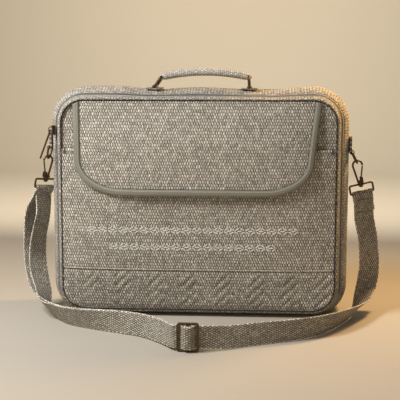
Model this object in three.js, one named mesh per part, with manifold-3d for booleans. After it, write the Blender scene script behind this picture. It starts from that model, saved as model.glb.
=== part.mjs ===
// Soft rectangular carrying bag: flap over a front pocket, zip round the gusset, short top
// handle, and a shoulder strap on snap hooks that lies on the table in front of the bag.
// Millimetres. +X to the right, +Y to the back, +Z up. The origin is the middle of the flat bottom.
import * as THREE from 'three';
import { mergeVertices } from 'three/addons/utils/BufferGeometryUtils.js';
import Module from 'manifold-3d';

const wasm = await Module();
wasm.setup();

// Body
const seamHalfWidth = 187;
const seamBottom = 10.8;
const seamTop = 298.5;
const cornerRadius = 31;
const bagDepth = 88;
const sideSwell = 20.8;
const topSwell = 18;
const frontLean = 5;
const topSag = 5.5;
const panelDome = 5;
const backDome = 5;
const wallThickness = 2.4;
const clothThickness = 1.8;
const pieceGap = 0.3;
const weltWidth = 1.4;
const weltStand = 3.6;
const frontBandWidth = 10;

// Zip
const zipWidth = 11;
const zipTapeThickness = 1.2;
const zipTapeRecess = 0.5;
const zipCoilWidth = 5;
const zipCoilThickness = 1.4;
const zipEndHeight = 34;
const zipSliderBelowCorner = 10.5;
const zipSliderLength = 13;
const zipSliderWidth = 9;
const zipSliderThickness = 4.2;
const zipBailLength = 9;
const zipBailRise = 4.6;
const zipBailWire = 0.8;
const zipPullLength = 43;
const zipPullWidth = 6;
const zipPullThickness = 1.8;
const zipPullBar = 1.6;
const zipPullTipShare = 0.7;
const zipBailBend = 2.5;
const zipPullSwing = 21;

// Pocket and flap
const pocketMouth = 233;
const pocketRoom = 8;
const hemHeight = 5;
const hemStand = 0.5;
const chevronTop = 67.5;
const flapSideInset = 17.4;
const flapTaperLeft = 3.5;
const flapTaperRight = 16;
const flapShift = -1.4;
const flapBottom = 171;
const flapCornerWidth = 66;
const flapCornerHeight = 47;
const flapFlare = 5;
const flapFlareHeight = 93;
const flapThickness = 2.2;
const flapClearance = 1.3;
const bindingWidth = 9;
const bindingThickness = 3;
const pocketFullest = 0.66;

// Handle
const handleMiddle = 7.9;
const handleHalfSpan = 60.3;
const handleBarRise = 13.5;
const handleRise = 6.8;
const gripThickness = 11;
const gripWidth = 26;
const gripEyeThickness = 2;
const handleDepth = 0.52;
const handleRingWidth = 31;
const handleRingWire = 2;
const handleRingLean = 10;
const handleTabThickness = 1.6;
const handleTabFoot = 8;
const handleRingBend = 3;
const gripEndShare = 0.95;

// Shoulder strap hardware, hung from a ring on each side
const ringDepth = 0.55;
const tabThickness = 1.7;
const tabTail = 22;
const ringWire = 1.6;
const ringInnerWidth = 27;
const ringBend = 2.5;
const ringDrop = 17.7;
const hookWire = 1.5;
const hookEyeRadius = 6.6;
const hookBackSlope = 9;
const hookNoseAngle = 8;
const gateWire = 1.1;
const gateKnuckle = 2.4;
const gateKnuckleWidth = 3.4;
const gatePin = 0.9;
const gatePivotDrop = 21.5;
const gatePivotAside = 2.1;
const cheekThickness = 1.2;
const hookBaseHeight = 3.4;
const swivelPost = 1.5;
const swivelHead = 2.7;
const swivelHeadHeight = 1.7;
const bossRadius = 3.8;
const bossHeight = 4;
const loopWire = 1.5;
const loopBarDrop = 42.5;
const loopSlack = 1;
const loopBend = 1.8;

// Shoulder strap
const strapWidth = 29;
const strapThickness = 1.8;
const strapFrontRoom = 167;
const strapSideRoom = 33.2;
const strapTail = 27;
const layerPitch = 2.6;
const strapStep = 15;
const sliderMiddle = -1;
const sliderLength = 28;
const sliderBar = 3;
const sliderLayerLead = 5;
const sliderCorner = 3.5;
const sliderWindowCorner = 1.2;

const perimeterLongSteps = 9;
const perimeterShortSteps = 6;
const cornerSteps = 5;
const panelColumns = 12;
const flapSideSteps = 5;
const flapCornerSteps = 7;
const flapBottomSteps = 10;
const gripSteps = 14;
const hookArcSteps = 10;
const wireSides = 8;
const pinSides = 10;
const discSides = 12;

// Places that follow the body
const zipSliderHeight = seamTop - cornerRadius - zipSliderBelowCorner;
const flapHalfWidth = seamHalfWidth - flapSideInset;
const handleBarHeight = seamTop + topSwell + handleBarRise;
const strapReach = bagDepth / 2 + strapFrontRoom;
const strapSpread = seamHalfWidth + sideSwell + strapSideRoom;

// Gusset profile: how far each depth stands out of the seam, as shares of depth and swell
const swellRows = [
  { depth: 0.0, swell: 0.2 },
  { depth: 0.06, swell: 0.29 },
  { depth: 0.115, swell: 0.37 },
  { depth: 0.24, swell: 0.58 },
  { depth: 0.36, swell: 0.82 },
  { depth: 0.5, swell: 1.0 },
  { depth: 0.76, swell: 1.0 },
  { depth: 0.9, swell: 0.9 },
  { depth: 1.0, swell: 0.7 },
];

// Dips of the soft top, as shares of half the width and of the sag
const sagRows = [
  { across: -1.0, sag: 0.0 },
  { across: -0.62, sag: 0.0 },
  { across: -0.35, sag: 0.82 },
  { across: 0.0, sag: 0.35 },
  { across: 0.37, sag: 0.85 },
  { across: 0.55, sag: 1.0 },
  { across: 0.74, sag: 0.25 },
  { across: 1.0, sag: 0.0 },
];

// Section of the flap's binding, as shares of its width and thickness
const bindingProfile = [
  { inward: 0.0, stand: 0.3 },
  { inward: 0.16, stand: 0.85 },
  { inward: 0.5, stand: 1.0 },
  { inward: 1.0, stand: 0.85 },
  { inward: 1.0, stand: 0.0 },
  { inward: 0.16, stand: 0.0 },
];

// Strap route: shares of spread, reach and hanging height, and the lean of its upper edge
const rightRun = [
  { across: 0.19, ahead: 0.925, up: 0.004, edgeX: -0.05, edgeY: 0.2 },
  { across: 0.315, ahead: 0.853, up: 0.001, edgeX: -0.03, edgeY: 0.15 },
  { across: 0.445, ahead: 0.787, up: 0, edgeX: 0.02, edgeY: 0.02 },
  { across: 0.57, ahead: 0.72, up: 0, edgeX: 0.08, edgeY: -0.07 },
  { across: 0.682, ahead: 0.63, up: 0, edgeX: 0.18, edgeY: -0.15 },
  { across: 0.767, ahead: 0.507, up: 0, edgeX: 0.33, edgeY: -0.22 },
  { across: 0.838, ahead: 0.374, up: 0.002, edgeX: 0.45, edgeY: -0.26 },
  { across: 0.898, ahead: 0.232, up: 0.006, edgeX: 0.57, edgeY: -0.32 },
  { across: 0.944, ahead: 0.09, up: 0.055, edgeX: 0.8, edgeY: -0.39 },
  { across: 0.965, ahead: -0.0, up: 0.125, edgeX: 0.91, edgeY: -0.34 },
  { across: 0.987, ahead: -0.06, up: 0.21, edgeX: 0.985, edgeY: -0.17 },
  { across: 1.0, ahead: -0.072, up: 0.33, edgeX: 0.99, edgeY: 0.1 },
  { across: 0.995, ahead: -0.05, up: 0.47, edgeX: 0.97, edgeY: 0.22 },
  { across: 0.982, ahead: -0.035, up: 0.63, edgeX: 0.955, edgeY: 0.28 },
  { across: 0.96, ahead: -0.028, up: 0.78, edgeX: 0.96, edgeY: 0.25 },
];
const leftRun = [
  { across: -0.16, ahead: 0.815, up: 0.006, edgeX: 0.13, edgeY: 0.17 },
  { across: -0.253, ahead: 0.7, up: 0.001, edgeX: 0.14, edgeY: 0.2 },
  { across: -0.365, ahead: 0.635, up: 0, edgeX: 0.08, edgeY: 0.15 },
  { across: -0.48, ahead: 0.592, up: 0, edgeX: -0.03, edgeY: -0.06 },
  { across: -0.598, ahead: 0.545, up: 0, edgeX: -0.14, edgeY: -0.25 },
  { across: -0.709, ahead: 0.478, up: 0, edgeX: -0.22, edgeY: -0.34 },
  { across: -0.793, ahead: 0.375, up: 0.003, edgeX: -0.28, edgeY: -0.4 },
];
const leftRise = [
  { across: -0.872, ahead: 0.265, up: 0.05, edgeX: -0.45, edgeY: -0.55 },
  { across: -0.928, ahead: 0.16, up: 0.155, edgeX: -0.74, edgeY: -0.59 },
  { across: -0.968, ahead: 0.071, up: 0.295, edgeX: -0.88, edgeY: -0.46 },
  { across: -0.989, ahead: 0.024, up: 0.46, edgeX: -0.84, edgeY: -0.53 },
  { across: -0.995, ahead: 0.008, up: 0.63, edgeX: -0.68, edgeY: -0.72 },
  { across: -0.984, ahead: 0.005, up: 0.8, edgeX: -0.57, edgeY: -0.8 },
];
const leftFall = [
  { across: -0.926, ahead: 0.013, up: 0.77, edgeX: -0.5, edgeY: -0.84 },
  { across: -0.952, ahead: 0.012, up: 0.61, edgeX: -0.56, edgeY: -0.81 },
  { across: -0.963, ahead: 0.022, up: 0.45, edgeX: -0.67, edgeY: -0.72 },
  { across: -0.948, ahead: 0.065, up: 0.285, edgeX: -0.76, edgeY: -0.62 },
  { across: -0.911, ahead: 0.14, up: 0.15, edgeX: -0.68, edgeY: -0.62 },
];

// Each side's ring drop below the top seam, ring tilt, lean of the hook, and turn of hook and strap loop
const sides = {
  left: { sign: -1, ringBelowTop: 66.5, ringTilt: 12, hookLean: 9, hookTurn: 38, loopTurn: 48 },
  right: { sign: 1, ringBelowTop: 72, ringTilt: 27, hookLean: 11, hookTurn: 0, loopTurn: -14 },
};

// Colours
const weaveColour = 0x9c9587;
const weaveDarkColour = 0x857f72;
const bindingColour = 0x8b897c;
const tapeColour = 0x77756c;
const weltColour = 0x4c4a44;
const metalColour = 0x4a3c2b;

const clothLook = new THREE.MeshStandardMaterial({ color: weaveColour, roughness: 0.95, metalness: 0 });
const gussetLook = new THREE.MeshStandardMaterial({ color: weaveDarkColour, roughness: 0.95, metalness: 0 });
const bindingLook = new THREE.MeshStandardMaterial({ color: bindingColour, roughness: 0.7, metalness: 0 });
const tapeLook = new THREE.MeshStandardMaterial({ color: tapeColour, roughness: 0.8, metalness: 0 });
const weltLook = new THREE.MeshStandardMaterial({ color: weltColour, roughness: 0.9, metalness: 0 });
const metalLook = new THREE.MeshStandardMaterial({ color: metalColour, roughness: 0.4, metalness: 1 });

const model = new THREE.Group();

function degrees(value) {
  return THREE.MathUtils.degToRad(value);
}

function addMesh(name, geometry, look, parent = model) {
  const mesh = new THREE.Mesh(geometry, look);
  mesh.name = name;
  parent.add(mesh);
  return mesh;
}

function geometryFrom(points, triangles) {
  const volume = triangles.reduce((sum, [a, b, c]) => {
    const cross = new THREE.Vector3().crossVectors(points[b], points[c]);
    return sum + points[a].dot(cross);
  }, 0);
  const outward = volume > 0 ? triangles : triangles.map(([a, b, c]) => [a, c, b]);
  const geometry = new THREE.BufferGeometry();
  geometry.setAttribute('position', new THREE.Float32BufferAttribute(points.flatMap((p) => p.toArray()), 3));
  geometry.setIndex(outward.flat());
  geometry.computeVertexNormals();
  return geometry;
}

// Skins rows of matching closed sections, joined end to end or capped
function loft(rows, endless) {
  const count = rows[0].length;
  const triangles = [];
  const spans = endless ? rows.length : rows.length - 1;
  for (let i = 0; i < spans; i += 1) {
    const here = i * count;
    const next = ((i + 1) % rows.length) * count;
    for (let j = 0; j < count; j += 1) {
      const side = (j + 1) % count;
      triangles.push([here + j, next + j, next + side]);
      triangles.push([here + j, next + side, here + side]);
    }
  }
  if (!endless) {
    const last = (rows.length - 1) * count;
    for (let j = 1; j < count - 1; j += 1) {
      triangles.push([0, j, j + 1]);
      triangles.push([last, last + j + 1, last + j]);
    }
  }
  return geometryFrom(rows.flat(), triangles);
}

// Closed cloth sheet between two matching grids of points
function sheet(front, back) {
  const rows = front.length;
  const columns = front[0].length;
  const offset = rows * columns;
  const triangles = [];
  const at = (i, j) => i * columns + j;
  for (let i = 0; i < rows - 1; i += 1) {
    for (let j = 0; j < columns - 1; j += 1) {
      const corners = [at(i, j), at(i + 1, j), at(i + 1, j + 1), at(i, j + 1)];
      triangles.push([corners[0], corners[1], corners[2]], [corners[0], corners[2], corners[3]]);
      const [a, b, c, d] = corners.map((k) => k + offset);
      triangles.push([a, c, b], [a, d, c]);
    }
  }
  const rim = [];
  for (let j = 0; j < columns - 1; j += 1) rim.push(at(0, j));
  for (let i = 0; i < rows - 1; i += 1) rim.push(at(i, columns - 1));
  for (let j = columns - 1; j > 0; j -= 1) rim.push(at(rows - 1, j));
  for (let i = rows - 1; i > 0; i -= 1) rim.push(at(i, 0));
  rim.forEach((here, k) => {
    const next = rim[(k + 1) % rim.length];
    triangles.push([here, next, next + offset], [here, next + offset, here + offset]);
  });
  return geometryFrom([...front.flat(), ...back.flat()], triangles);
}

function toSolid(geometry) {
  const plain = geometry.clone();
  plain.deleteAttribute('normal');
  plain.deleteAttribute('uv');
  const merged = mergeVertices(plain, 1e-4);
  const vertProperties = new Float32Array(merged.attributes.position.array);
  const triVerts = new Uint32Array(merged.index.array);
  return new wasm.Manifold(new wasm.Mesh({ numProp: 3, vertProperties, triVerts }));
}

function fromSolid(solid) {
  const { vertProperties, triVerts } = solid.getMesh();
  const geometry = new THREE.BufferGeometry();
  geometry.setAttribute('position', new THREE.BufferAttribute(vertProperties, 3));
  geometry.setIndex(new THREE.BufferAttribute(triVerts, 1));
  geometry.computeVertexNormals();
  return geometry;
}

function joined(geometries) {
  const solids = geometries.map(toSolid);
  return fromSolid(solids.slice(1).reduce((sum, solid) => sum.add(solid), solids[0]));
}

// Smooth value between table rows
function tableValue(rows, key, value, place) {
  let k = 0;
  while (k < rows.length - 2 && place > rows[k + 1][key]) k += 1;
  const low = rows[k];
  const high = rows[k + 1];
  const share = THREE.MathUtils.clamp((place - low[key]) / (high[key] - low[key]), 0, 1);
  const before = rows[Math.max(k - 1, 0)];
  const after = rows[Math.min(k + 2, rows.length - 1)];
  const span = high[key] - low[key];
  const rise = high[value] - low[value];
  const turnsAtLow = (low[value] - before[value]) * rise <= 0;
  const turnsAtHigh = (after[value] - high[value]) * rise <= 0;
  const startSlope = turnsAtLow ? 0 : (high[value] - before[value]) / (high[key] - before[key]) * span;
  const endSlope = turnsAtHigh ? 0 : (after[value] - low[value]) / (after[key] - low[key]) * span;
  const s2 = share * share;
  const s3 = s2 * share;
  return (2 * s3 - 3 * s2 + 1) * low[value] + (s3 - 2 * s2 + share) * startSlope
    + (3 * s2 - 2 * s3) * high[value] + (s3 - s2) * endSlope;
}

// Body outline, walked once round from the lower left corner
function seamStations() {
  const stations = [];
  const left = -seamHalfWidth + cornerRadius;
  const right = seamHalfWidth - cornerRadius;
  const low = seamBottom + cornerRadius;
  const high = seamTop - cornerRadius;
  const corners = [
    { x: left, z: low, start: 180, steps: perimeterLongSteps },
    { x: right, z: low, start: 270, steps: perimeterShortSteps },
    { x: right, z: high, start: 0, steps: perimeterLongSteps },
    { x: left, z: high, start: 90, steps: perimeterShortSteps },
  ];
  corners.forEach((corner, index) => {
    for (let i = 0; i <= cornerSteps; i += 1) {
      const angle = degrees(corner.start + 90 * i / cornerSteps);
      const nx = Math.cos(angle);
      const nz = Math.sin(angle);
      stations.push({ x: corner.x + cornerRadius * nx, z: corner.z + cornerRadius * nz, nx, nz });
    }
    const from = stations[stations.length - 1];
    const next = corners[(index + 1) % corners.length];
    const angle = degrees(next.start);
    const to = { x: next.x + cornerRadius * Math.cos(angle), z: next.z + cornerRadius * Math.sin(angle) };
    for (let i = 1; i < corner.steps; i += 1) {
      const share = i / corner.steps;
      const x = THREE.MathUtils.lerp(from.x, to.x, share);
      const z = THREE.MathUtils.lerp(from.z, to.z, share);
      stations.push({ x, z, nx: from.nx, nz: from.nz });
    }
  });
  return stations;
}

const stations = seamStations();

function heightShare(z) {
  return THREE.MathUtils.clamp((z - seamBottom) / (seamTop - seamBottom), 0, 1);
}

function frontPlane(z) {
  return -bagDepth / 2 + frontLean * heightShare(z);
}

function depthPlace(depth, z) {
  return -bagDepth / 2 + depth + frontLean * heightShare(z) * (1 - depth / bagDepth);
}

function sagAt(x, reach) {
  const share = THREE.MathUtils.clamp(reach / sideSwell, 0, 1);
  return topSag * share * tableValue(sagRows, 'across', 'sag', x / seamHalfWidth);
}

// Point that stands out from the seam by reach, at a depth behind the front, above a floor
function bodyPoint(station, reach, depth, floor) {
  const upward = Math.max(station.nz, 0);
  const stretch = THREE.MathUtils.lerp(1, topSwell / sideSwell, upward);
  const x = station.x + station.nx * reach;
  const sag = liesAlongTop(station) ? sagAt(x, reach) : 0;
  const z = Math.max(station.z + station.nz * reach * stretch - sag, floor);
  return new THREE.Vector3(x, depthPlace(depth, z), z);
}

function reachAt(depth) {
  return sideSwell * tableValue(swellRows, 'depth', 'swell', depth / bagDepth);
}

function slopeAt(depth) {
  const step = 1;
  return (reachAt(depth + step / 2) - reachAt(depth - step / 2)) / step;
}

function liesAlongTop({ nz }) {
  return nz > 0.99;
}

// Band of the gusset between two depths, as a closed ring or over chosen stations
function gussetBand(fromDepth, toDepth, steps, options) {
  const { thickness, recess = 0, list = stations, endless = true } = options;
  const outer = [];
  for (let i = 0; i <= steps; i += 1) {
    const depth = THREE.MathUtils.lerp(fromDepth, toDepth, i / steps);
    const normal = new THREE.Vector2(1, -slopeAt(depth)).normalize();
    outer.push({ reach: reachAt(depth), depth, normal });
  }
  const rows = list.map((station) => {
    const surface = (point, sink) => bodyPoint(
      station,
      point.reach - sink * point.normal.x,
      point.depth - sink * point.normal.y,
      Math.max(sink, 0),
    );
    const outside = outer.map((point) => surface(point, recess));
    const inside = outer.map((point) => surface(point, recess + thickness));
    return [...outside, ...inside.reverse()];
  });
  return loft(rows, endless);
}

// Panels of the front and back
function halfWidthAt(z, reach) {
  const width = seamHalfWidth + reach;
  const radius = cornerRadius + reach;
  const top = seamTop + reach * topSwell / sideSwell;
  const bottom = seamBottom - reach;
  const into = Math.max(z - (top - radius), bottom + radius - z, 0);
  return width - radius + Math.sqrt(Math.max(radius * radius - into * into, 0));
}

function panelLevels(fromZ, toZ, reach) {
  const radius = cornerRadius + reach;
  const top = seamTop + reach * topSwell / sideSwell;
  const bottom = seamBottom - reach;
  const levels = [];
  for (let i = 0; i <= cornerSteps; i += 1) {
    const rise = radius * (1 - Math.cos(Math.PI / 2 * i / cornerSteps));
    levels.push(bottom + rise, top - rise);
  }
  for (let i = 1; i < perimeterShortSteps; i += 1) {
    levels.push(THREE.MathUtils.lerp(bottom + radius, top - radius, i / perimeterShortSteps));
  }
  const nearestLevelShare = 0.02;
  const clear = (toZ - fromZ) * nearestLevelShare;
  const inside = levels.filter((z) => z > fromZ + clear && z < toZ - clear);
  return [fromZ, ...inside.sort((a, b) => a - b), toZ];
}

function columnShare(j) {
  return Math.sin(Math.PI / 2 * (2 * j / panelColumns - 1));
}

function panelSheet(levels, halfWidth, frontY, backY) {
  const grid = (depthOf) => levels.map((z) => {
    const row = [];
    for (let j = 0; j <= panelColumns; j += 1) {
      const x = columnShare(j) * halfWidth(z);
      row.push(new THREE.Vector3(x, depthOf(x, z), z));
    }
    return row;
  });
  return sheet(grid(frontY), grid(backY));
}

function quarticFall(share) {
  return Math.max(1 - share ** 4, 0);
}

function panelBulge(x, z) {
  const middle = (seamTop + seamBottom) / 2;
  const halfHeight = (seamTop - seamBottom) / 2;
  return quarticFall(x / seamHalfWidth) * quarticFall((z - middle) / halfHeight);
}

function frontPanelFace(x, z) {
  return frontPlane(z) - panelDome * panelBulge(x, z);
}

// The pocket stands furthest off the front below its mouth and closes towards both ends
function pocketLift(z) {
  const share = THREE.MathUtils.clamp((z - seamBottom) / (pocketMouth - seamBottom), 0, 1);
  const closing = z > pocketMouth ? (seamTop - z) / (seamTop - pocketMouth) : 1;
  return Math.sin(Math.PI * pocketFullest * share) * THREE.MathUtils.smoothstep(closing, 0, 1);
}

function layerLift(z) {
  const closing = z > pocketMouth ? (seamTop - z) / (seamTop - pocketMouth) : 1;
  return THREE.MathUtils.smoothstep(closing, 0, 1);
}

function pocketBackFace(x, z) {
  const room = pocketRoom * quarticFall(x / seamHalfWidth) * pocketLift(z);
  return frontPanelFace(x, z) - 2 * pieceGap - room;
}

function pocketFrontFace(x, z) {
  return pocketBackFace(x, z) - clothThickness;
}

// How far the flap's lower edge curls away from the pocket, flat at its left corner
function flapCurl(x, z) {
  const down = THREE.MathUtils.clamp((flapBottom + flapFlareHeight - z) / flapFlareHeight, 0, 1);
  return flapFlare * down ** 1.5 * THREE.MathUtils.smoothstep(x / flapHalfWidth, -0.85, -0.35);
}

function flapBackFace(x, z) {
  const room = pocketRoom * quarticFall(x / seamHalfWidth) * pocketLift(z);
  const layers = (2 * pieceGap + clothThickness) * layerLift(z);
  return frontPanelFace(x, z) - layers - room - flapClearance - flapCurl(x, z);
}

function buildBody() {
  const wholeFront = panelLevels(seamBottom, seamTop, 0);
  const seamWidth = (z) => halfWidthAt(z, 0);
  addMesh('front_panel', panelSheet(
    wholeFront,
    seamWidth,
    frontPanelFace,
    (x, z) => frontPanelFace(x, z) + wallThickness,
  ), clothLook);
  addMesh('pocket_panel', panelSheet(
    panelLevels(chevronTop + pieceGap, pocketMouth - hemHeight - pieceGap, 0),
    seamWidth,
    pocketFrontFace,
    pocketBackFace,
  ), clothLook);
  addMesh('pocket_hem', panelSheet(
    [pocketMouth - hemHeight, pocketMouth - hemHeight / 2, pocketMouth],
    seamWidth,
    (x, z) => pocketFrontFace(x, z) - hemStand,
    pocketBackFace,
  ), clothLook);
  addMesh('chevron_band', panelSheet(
    panelLevels(seamBottom, chevronTop, 0),
    seamWidth,
    pocketFrontFace,
    pocketBackFace,
  ), clothLook);

  const weltInner = pieceGap;
  const weltOuter = pieceGap + weltWidth;
  addMesh('front_welt', loft(stations.map((station) => [
    bodyPoint(station, weltInner, -weltStand, 0),
    bodyPoint(station, weltOuter, -weltStand, 0),
    bodyPoint(station, weltOuter, wallThickness, 0),
    bodyPoint(station, weltInner, wallThickness, 0),
  ]), true), weltLook);

  const zipEnd = frontBandWidth + zipWidth;
  addMesh('front_gusset', gussetBand(0, frontBandWidth, 2, { thickness: wallThickness }), gussetLook);
  addMesh('zip_tape', gussetBand(
    frontBandWidth + pieceGap,
    zipEnd,
    1,
    { thickness: zipTapeThickness, recess: zipTapeRecess },
  ), tapeLook);
  addMesh('rear_gusset', gussetBand(
    zipEnd + pieceGap,
    bagDepth,
    6,
    { thickness: wallThickness },
  ), gussetLook);

  const backReach = reachAt(bagDepth);
  const backTop = seamTop + backReach * topSwell / sideSwell;
  const backPlane = bagDepth / 2 + pieceGap;
  addMesh('back_panel', panelSheet(
    panelLevels(0, backTop, backReach),
    (z) => halfWidthAt(z, backReach),
    (x, z) => backPlane + wallThickness + backDome * panelBulge(x, z),
    (x, z) => backPlane + backDome * panelBulge(x, z),
  ), gussetLook);
}

// Zip round both sides and the top, with its slider and hanging pull on the left
const zipMiddleDepth = frontBandWidth + pieceGap + zipWidth / 2;

function buildZip() {
  const start = stations.findIndex((station) => station.x > 0 && station.z > zipEndHeight);
  const turned = [...stations.slice(start), ...stations.slice(0, start)];
  const run = turned.filter((station) => station.z > zipEndHeight);
  addMesh('zip_coil', gussetBand(
    zipMiddleDepth - zipCoilWidth / 2,
    zipMiddleDepth + zipCoilWidth / 2,
    1,
    {
      thickness: zipCoilThickness,
      recess: zipTapeRecess - 2 * pieceGap - zipCoilThickness,
      list: run,
      endless: false,
    },
  ), tapeLook);

  const seat = new THREE.Group();
  const tilt = Math.atan(slopeAt(zipMiddleDepth));
  const stand = zipCoilThickness + 4 * pieceGap - zipTapeRecess;
  seat.position.set(
    -seamHalfWidth - reachAt(zipMiddleDepth) - stand * Math.cos(tilt),
    depthPlace(zipMiddleDepth, zipSliderHeight) - stand * Math.sin(tilt),
    zipSliderHeight,
  );
  seat.rotation.z = Math.PI + tilt;
  model.add(seat);

  const body = new THREE.BoxGeometry(zipSliderThickness, zipSliderWidth, zipSliderLength);
  body.translate(zipSliderThickness / 2, 0, 0);
  const bailPath = [
    { out: zipSliderThickness - zipBailWire, up: -zipBailLength / 2 },
    { out: zipSliderThickness + zipBailRise, up: -zipBailLength / 2 },
    { out: zipSliderThickness + zipBailRise, up: zipBailLength / 2 },
    { out: zipSliderThickness - zipBailWire, up: zipBailLength / 2 },
  ];
  const bailPoints = roundedRun(bailPath.map(({ out, up }) => new THREE.Vector3(out, 0, up)), zipBailBend, 2);
  const bail = wireRun(bailPoints, new THREE.Vector3(0, 1, 0), zipBailWire, wireSides - 2);
  addMesh('zip_slider', joined([body, bail]), metalLook, seat);

  const crossbarSweep = Math.hypot(zipPullBar, zipPullThickness) / 2;
  const pivotOut = zipSliderThickness + zipBailRise - zipBailWire - crossbarSweep - pieceGap;
  const pivot = new THREE.Group();
  pivot.position.set(pivotOut, 0, 0);
  pivot.rotation.y = degrees(-zipPullSwing);
  seat.add(pivot);
  const outline = new THREE.Shape();
  const half = zipPullWidth / 2;
  const tip = half * zipPullTipShare;
  outline.moveTo(-half, zipPullBar / 2);
  outline.lineTo(-tip, -zipPullLength + half);
  outline.absarc(0, -zipPullLength + half, tip, Math.PI, 2 * Math.PI, false);
  outline.lineTo(half, zipPullBar / 2);
  outline.closePath();
  const eye = new THREE.Path();
  const eyeHalf = half - zipPullBar * zipPullTipShare;
  const eyeTop = -zipPullBar / 2;
  const eyeBottom = eyeTop - zipBailLength * zipPullTipShare;
  eye.moveTo(-eyeHalf, eyeTop);
  eye.lineTo(eyeHalf, eyeTop);
  eye.lineTo(eyeHalf, eyeBottom);
  eye.lineTo(-eyeHalf, eyeBottom);
  eye.closePath();
  outline.holes.push(eye);
  const pull = new THREE.ExtrudeGeometry(outline, {
    depth: zipPullThickness,
    bevelEnabled: false,
    curveSegments: 5,
  });
  pull.translate(0, 0, -zipPullThickness / 2);
  pull.rotateX(Math.PI / 2);
  pull.rotateZ(Math.PI / 2);
  addMesh('zip_pull', pull, metalLook, pivot);
}

// Path with its corners rounded, for bent wire
function roundedCorner(before, corner, after, radius, steps) {
  const toBefore = before.clone().sub(corner).normalize();
  const toAfter = after.clone().sub(corner).normalize();
  const half = toBefore.angleTo(toAfter) / 2;
  const setback = radius / Math.tan(half);
  const start = corner.clone().addScaledVector(toBefore, setback);
  const bisector = toBefore.clone().add(toAfter).normalize();
  const centre = corner.clone().addScaledVector(bisector, radius / Math.sin(half));
  const end = corner.clone().addScaledVector(toAfter, setback);
  const from = start.clone().sub(centre);
  const to = end.clone().sub(centre);
  const sweep = from.angleTo(to);
  const points = [];
  for (let i = 0; i <= steps; i += 1) {
    const share = i / steps;
    const a = Math.sin((1 - share) * sweep) / Math.sin(sweep);
    const b = Math.sin(share * sweep) / Math.sin(sweep);
    points.push(centre.clone().addScaledVector(from, a).addScaledVector(to, b));
  }
  return points;
}

function roundedRun(points, radius, steps) {
  const middle = points.slice(1, -1).flatMap((corner, i) => (
    roundedCorner(points[i], corner, points[i + 2], radius, steps)
  ));
  return [points[0], ...middle, points[points.length - 1]];
}

function roundedLoop(corners, steps) {
  return corners.flatMap(({ point, radius }, i) => {
    const before = corners[(i + corners.length - 1) % corners.length].point;
    const after = corners[(i + 1) % corners.length].point;
    return roundedCorner(before, point, after, radius, steps);
  });
}

function wireSections(points, normal, radius, sides, endless) {
  return points.map((point, i) => {
    const last = points.length - 1;
    const before = endless ? points[(i + last) % points.length] : points[Math.max(i - 1, 0)];
    const after = endless ? points[(i + 1) % points.length] : points[Math.min(i + 1, last)];
    const tangent = after.clone().sub(before).normalize();
    const across = new THREE.Vector3().crossVectors(tangent, normal).normalize();
    const section = [];
    for (let k = 0; k < sides; k += 1) {
      const angle = 2 * Math.PI * (k + 0.5) / sides;
      section.push(point.clone()
        .addScaledVector(normal, radius * Math.cos(angle))
        .addScaledVector(across, radius * Math.sin(angle)));
    }
    return section;
  });
}

function wireLoop(points, normal, radius, sides = wireSides) {
  return loft(wireSections(points, normal, radius, sides, true), true);
}

function wireRun(points, normal, radius, sides = wireSides) {
  return loft(wireSections(points, normal, radius, sides, false), false);
}

// Height of the seam above a place along the top, round the corners too
function seamTopAt(x) {
  const into = Math.max(Math.abs(x) - (seamHalfWidth - cornerRadius), 0);
  return seamTop - cornerRadius + Math.sqrt(cornerRadius ** 2 - into ** 2);
}

function tuckedUnderSeam(x, z) {
  return Math.min(z, seamTopAt(x) - 3 * pieceGap);
}

// Flap with a bound edge down both sides and along the bottom
function flapSide(sign, taper, inset) {
  const points = [];
  const top = seamTop - pieceGap;
  const low = flapBottom + flapCornerHeight;
  const sideAt = (z) => flapHalfWidth - taper * (top - z) / (top - flapBottom) - inset;
  const cornerMiddle = sideAt(low) + inset - flapCornerWidth;
  for (let i = 0; i < flapSideSteps; i += 1) {
    const z = THREE.MathUtils.lerp(top, low, i / flapSideSteps);
    points.push({ x: flapShift + sign * sideAt(z), z });
  }
  for (let i = 0; i <= flapCornerSteps; i += 1) {
    const angle = Math.PI / 2 * i / flapCornerSteps;
    points.push({
      x: flapShift + sign * (cornerMiddle + (flapCornerWidth - inset) * Math.cos(angle)),
      z: low - (flapCornerHeight - inset) * Math.sin(angle),
    });
  }
  return points;
}

function flapEdge(inset) {
  const left = flapSide(-1, flapTaperLeft, inset);
  const right = flapSide(1, flapTaperRight, inset).reverse();
  const from = left[left.length - 1].x;
  const bottom = [];
  for (let i = 1; i < flapBottomSteps; i += 1) {
    bottom.push({ x: THREE.MathUtils.lerp(from, right[0].x, i / flapBottomSteps), z: flapBottom + inset });
  }
  return [...left, ...bottom, ...right];
}

function buildFlap() {
  const inset = bindingWidth + pieceGap;
  const left = flapSide(-1, flapTaperLeft, inset);
  const right = flapSide(1, flapTaperRight, inset);
  const grid = (depthOf) => left.map(({ x, z }, i) => {
    const row = [];
    for (let j = 0; j <= panelColumns; j += 1) {
      const across = THREE.MathUtils.lerp(x, right[i].x, (1 + columnShare(j)) / 2);
      row.push(new THREE.Vector3(across, depthOf(across, z), tuckedUnderSeam(across, z)));
    }
    return row;
  });
  addMesh('flap', sheet(
    grid((x, z) => flapBackFace(x, z) - flapThickness),
    grid(flapBackFace),
  ), clothLook);

  const lines = bindingProfile.map(({ inward, stand }) => (
    flapEdge(inward * bindingWidth).map(({ x, z }) => (
      new THREE.Vector3(x, flapBackFace(x, z) - stand * bindingThickness, tuckedUnderSeam(x, z))
    ))
  ));
  const rows = lines[0].map((_, i) => lines.map((line) => line[i]));
  addMesh('flap_binding', loft(rows, false), bindingLook);
}

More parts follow.
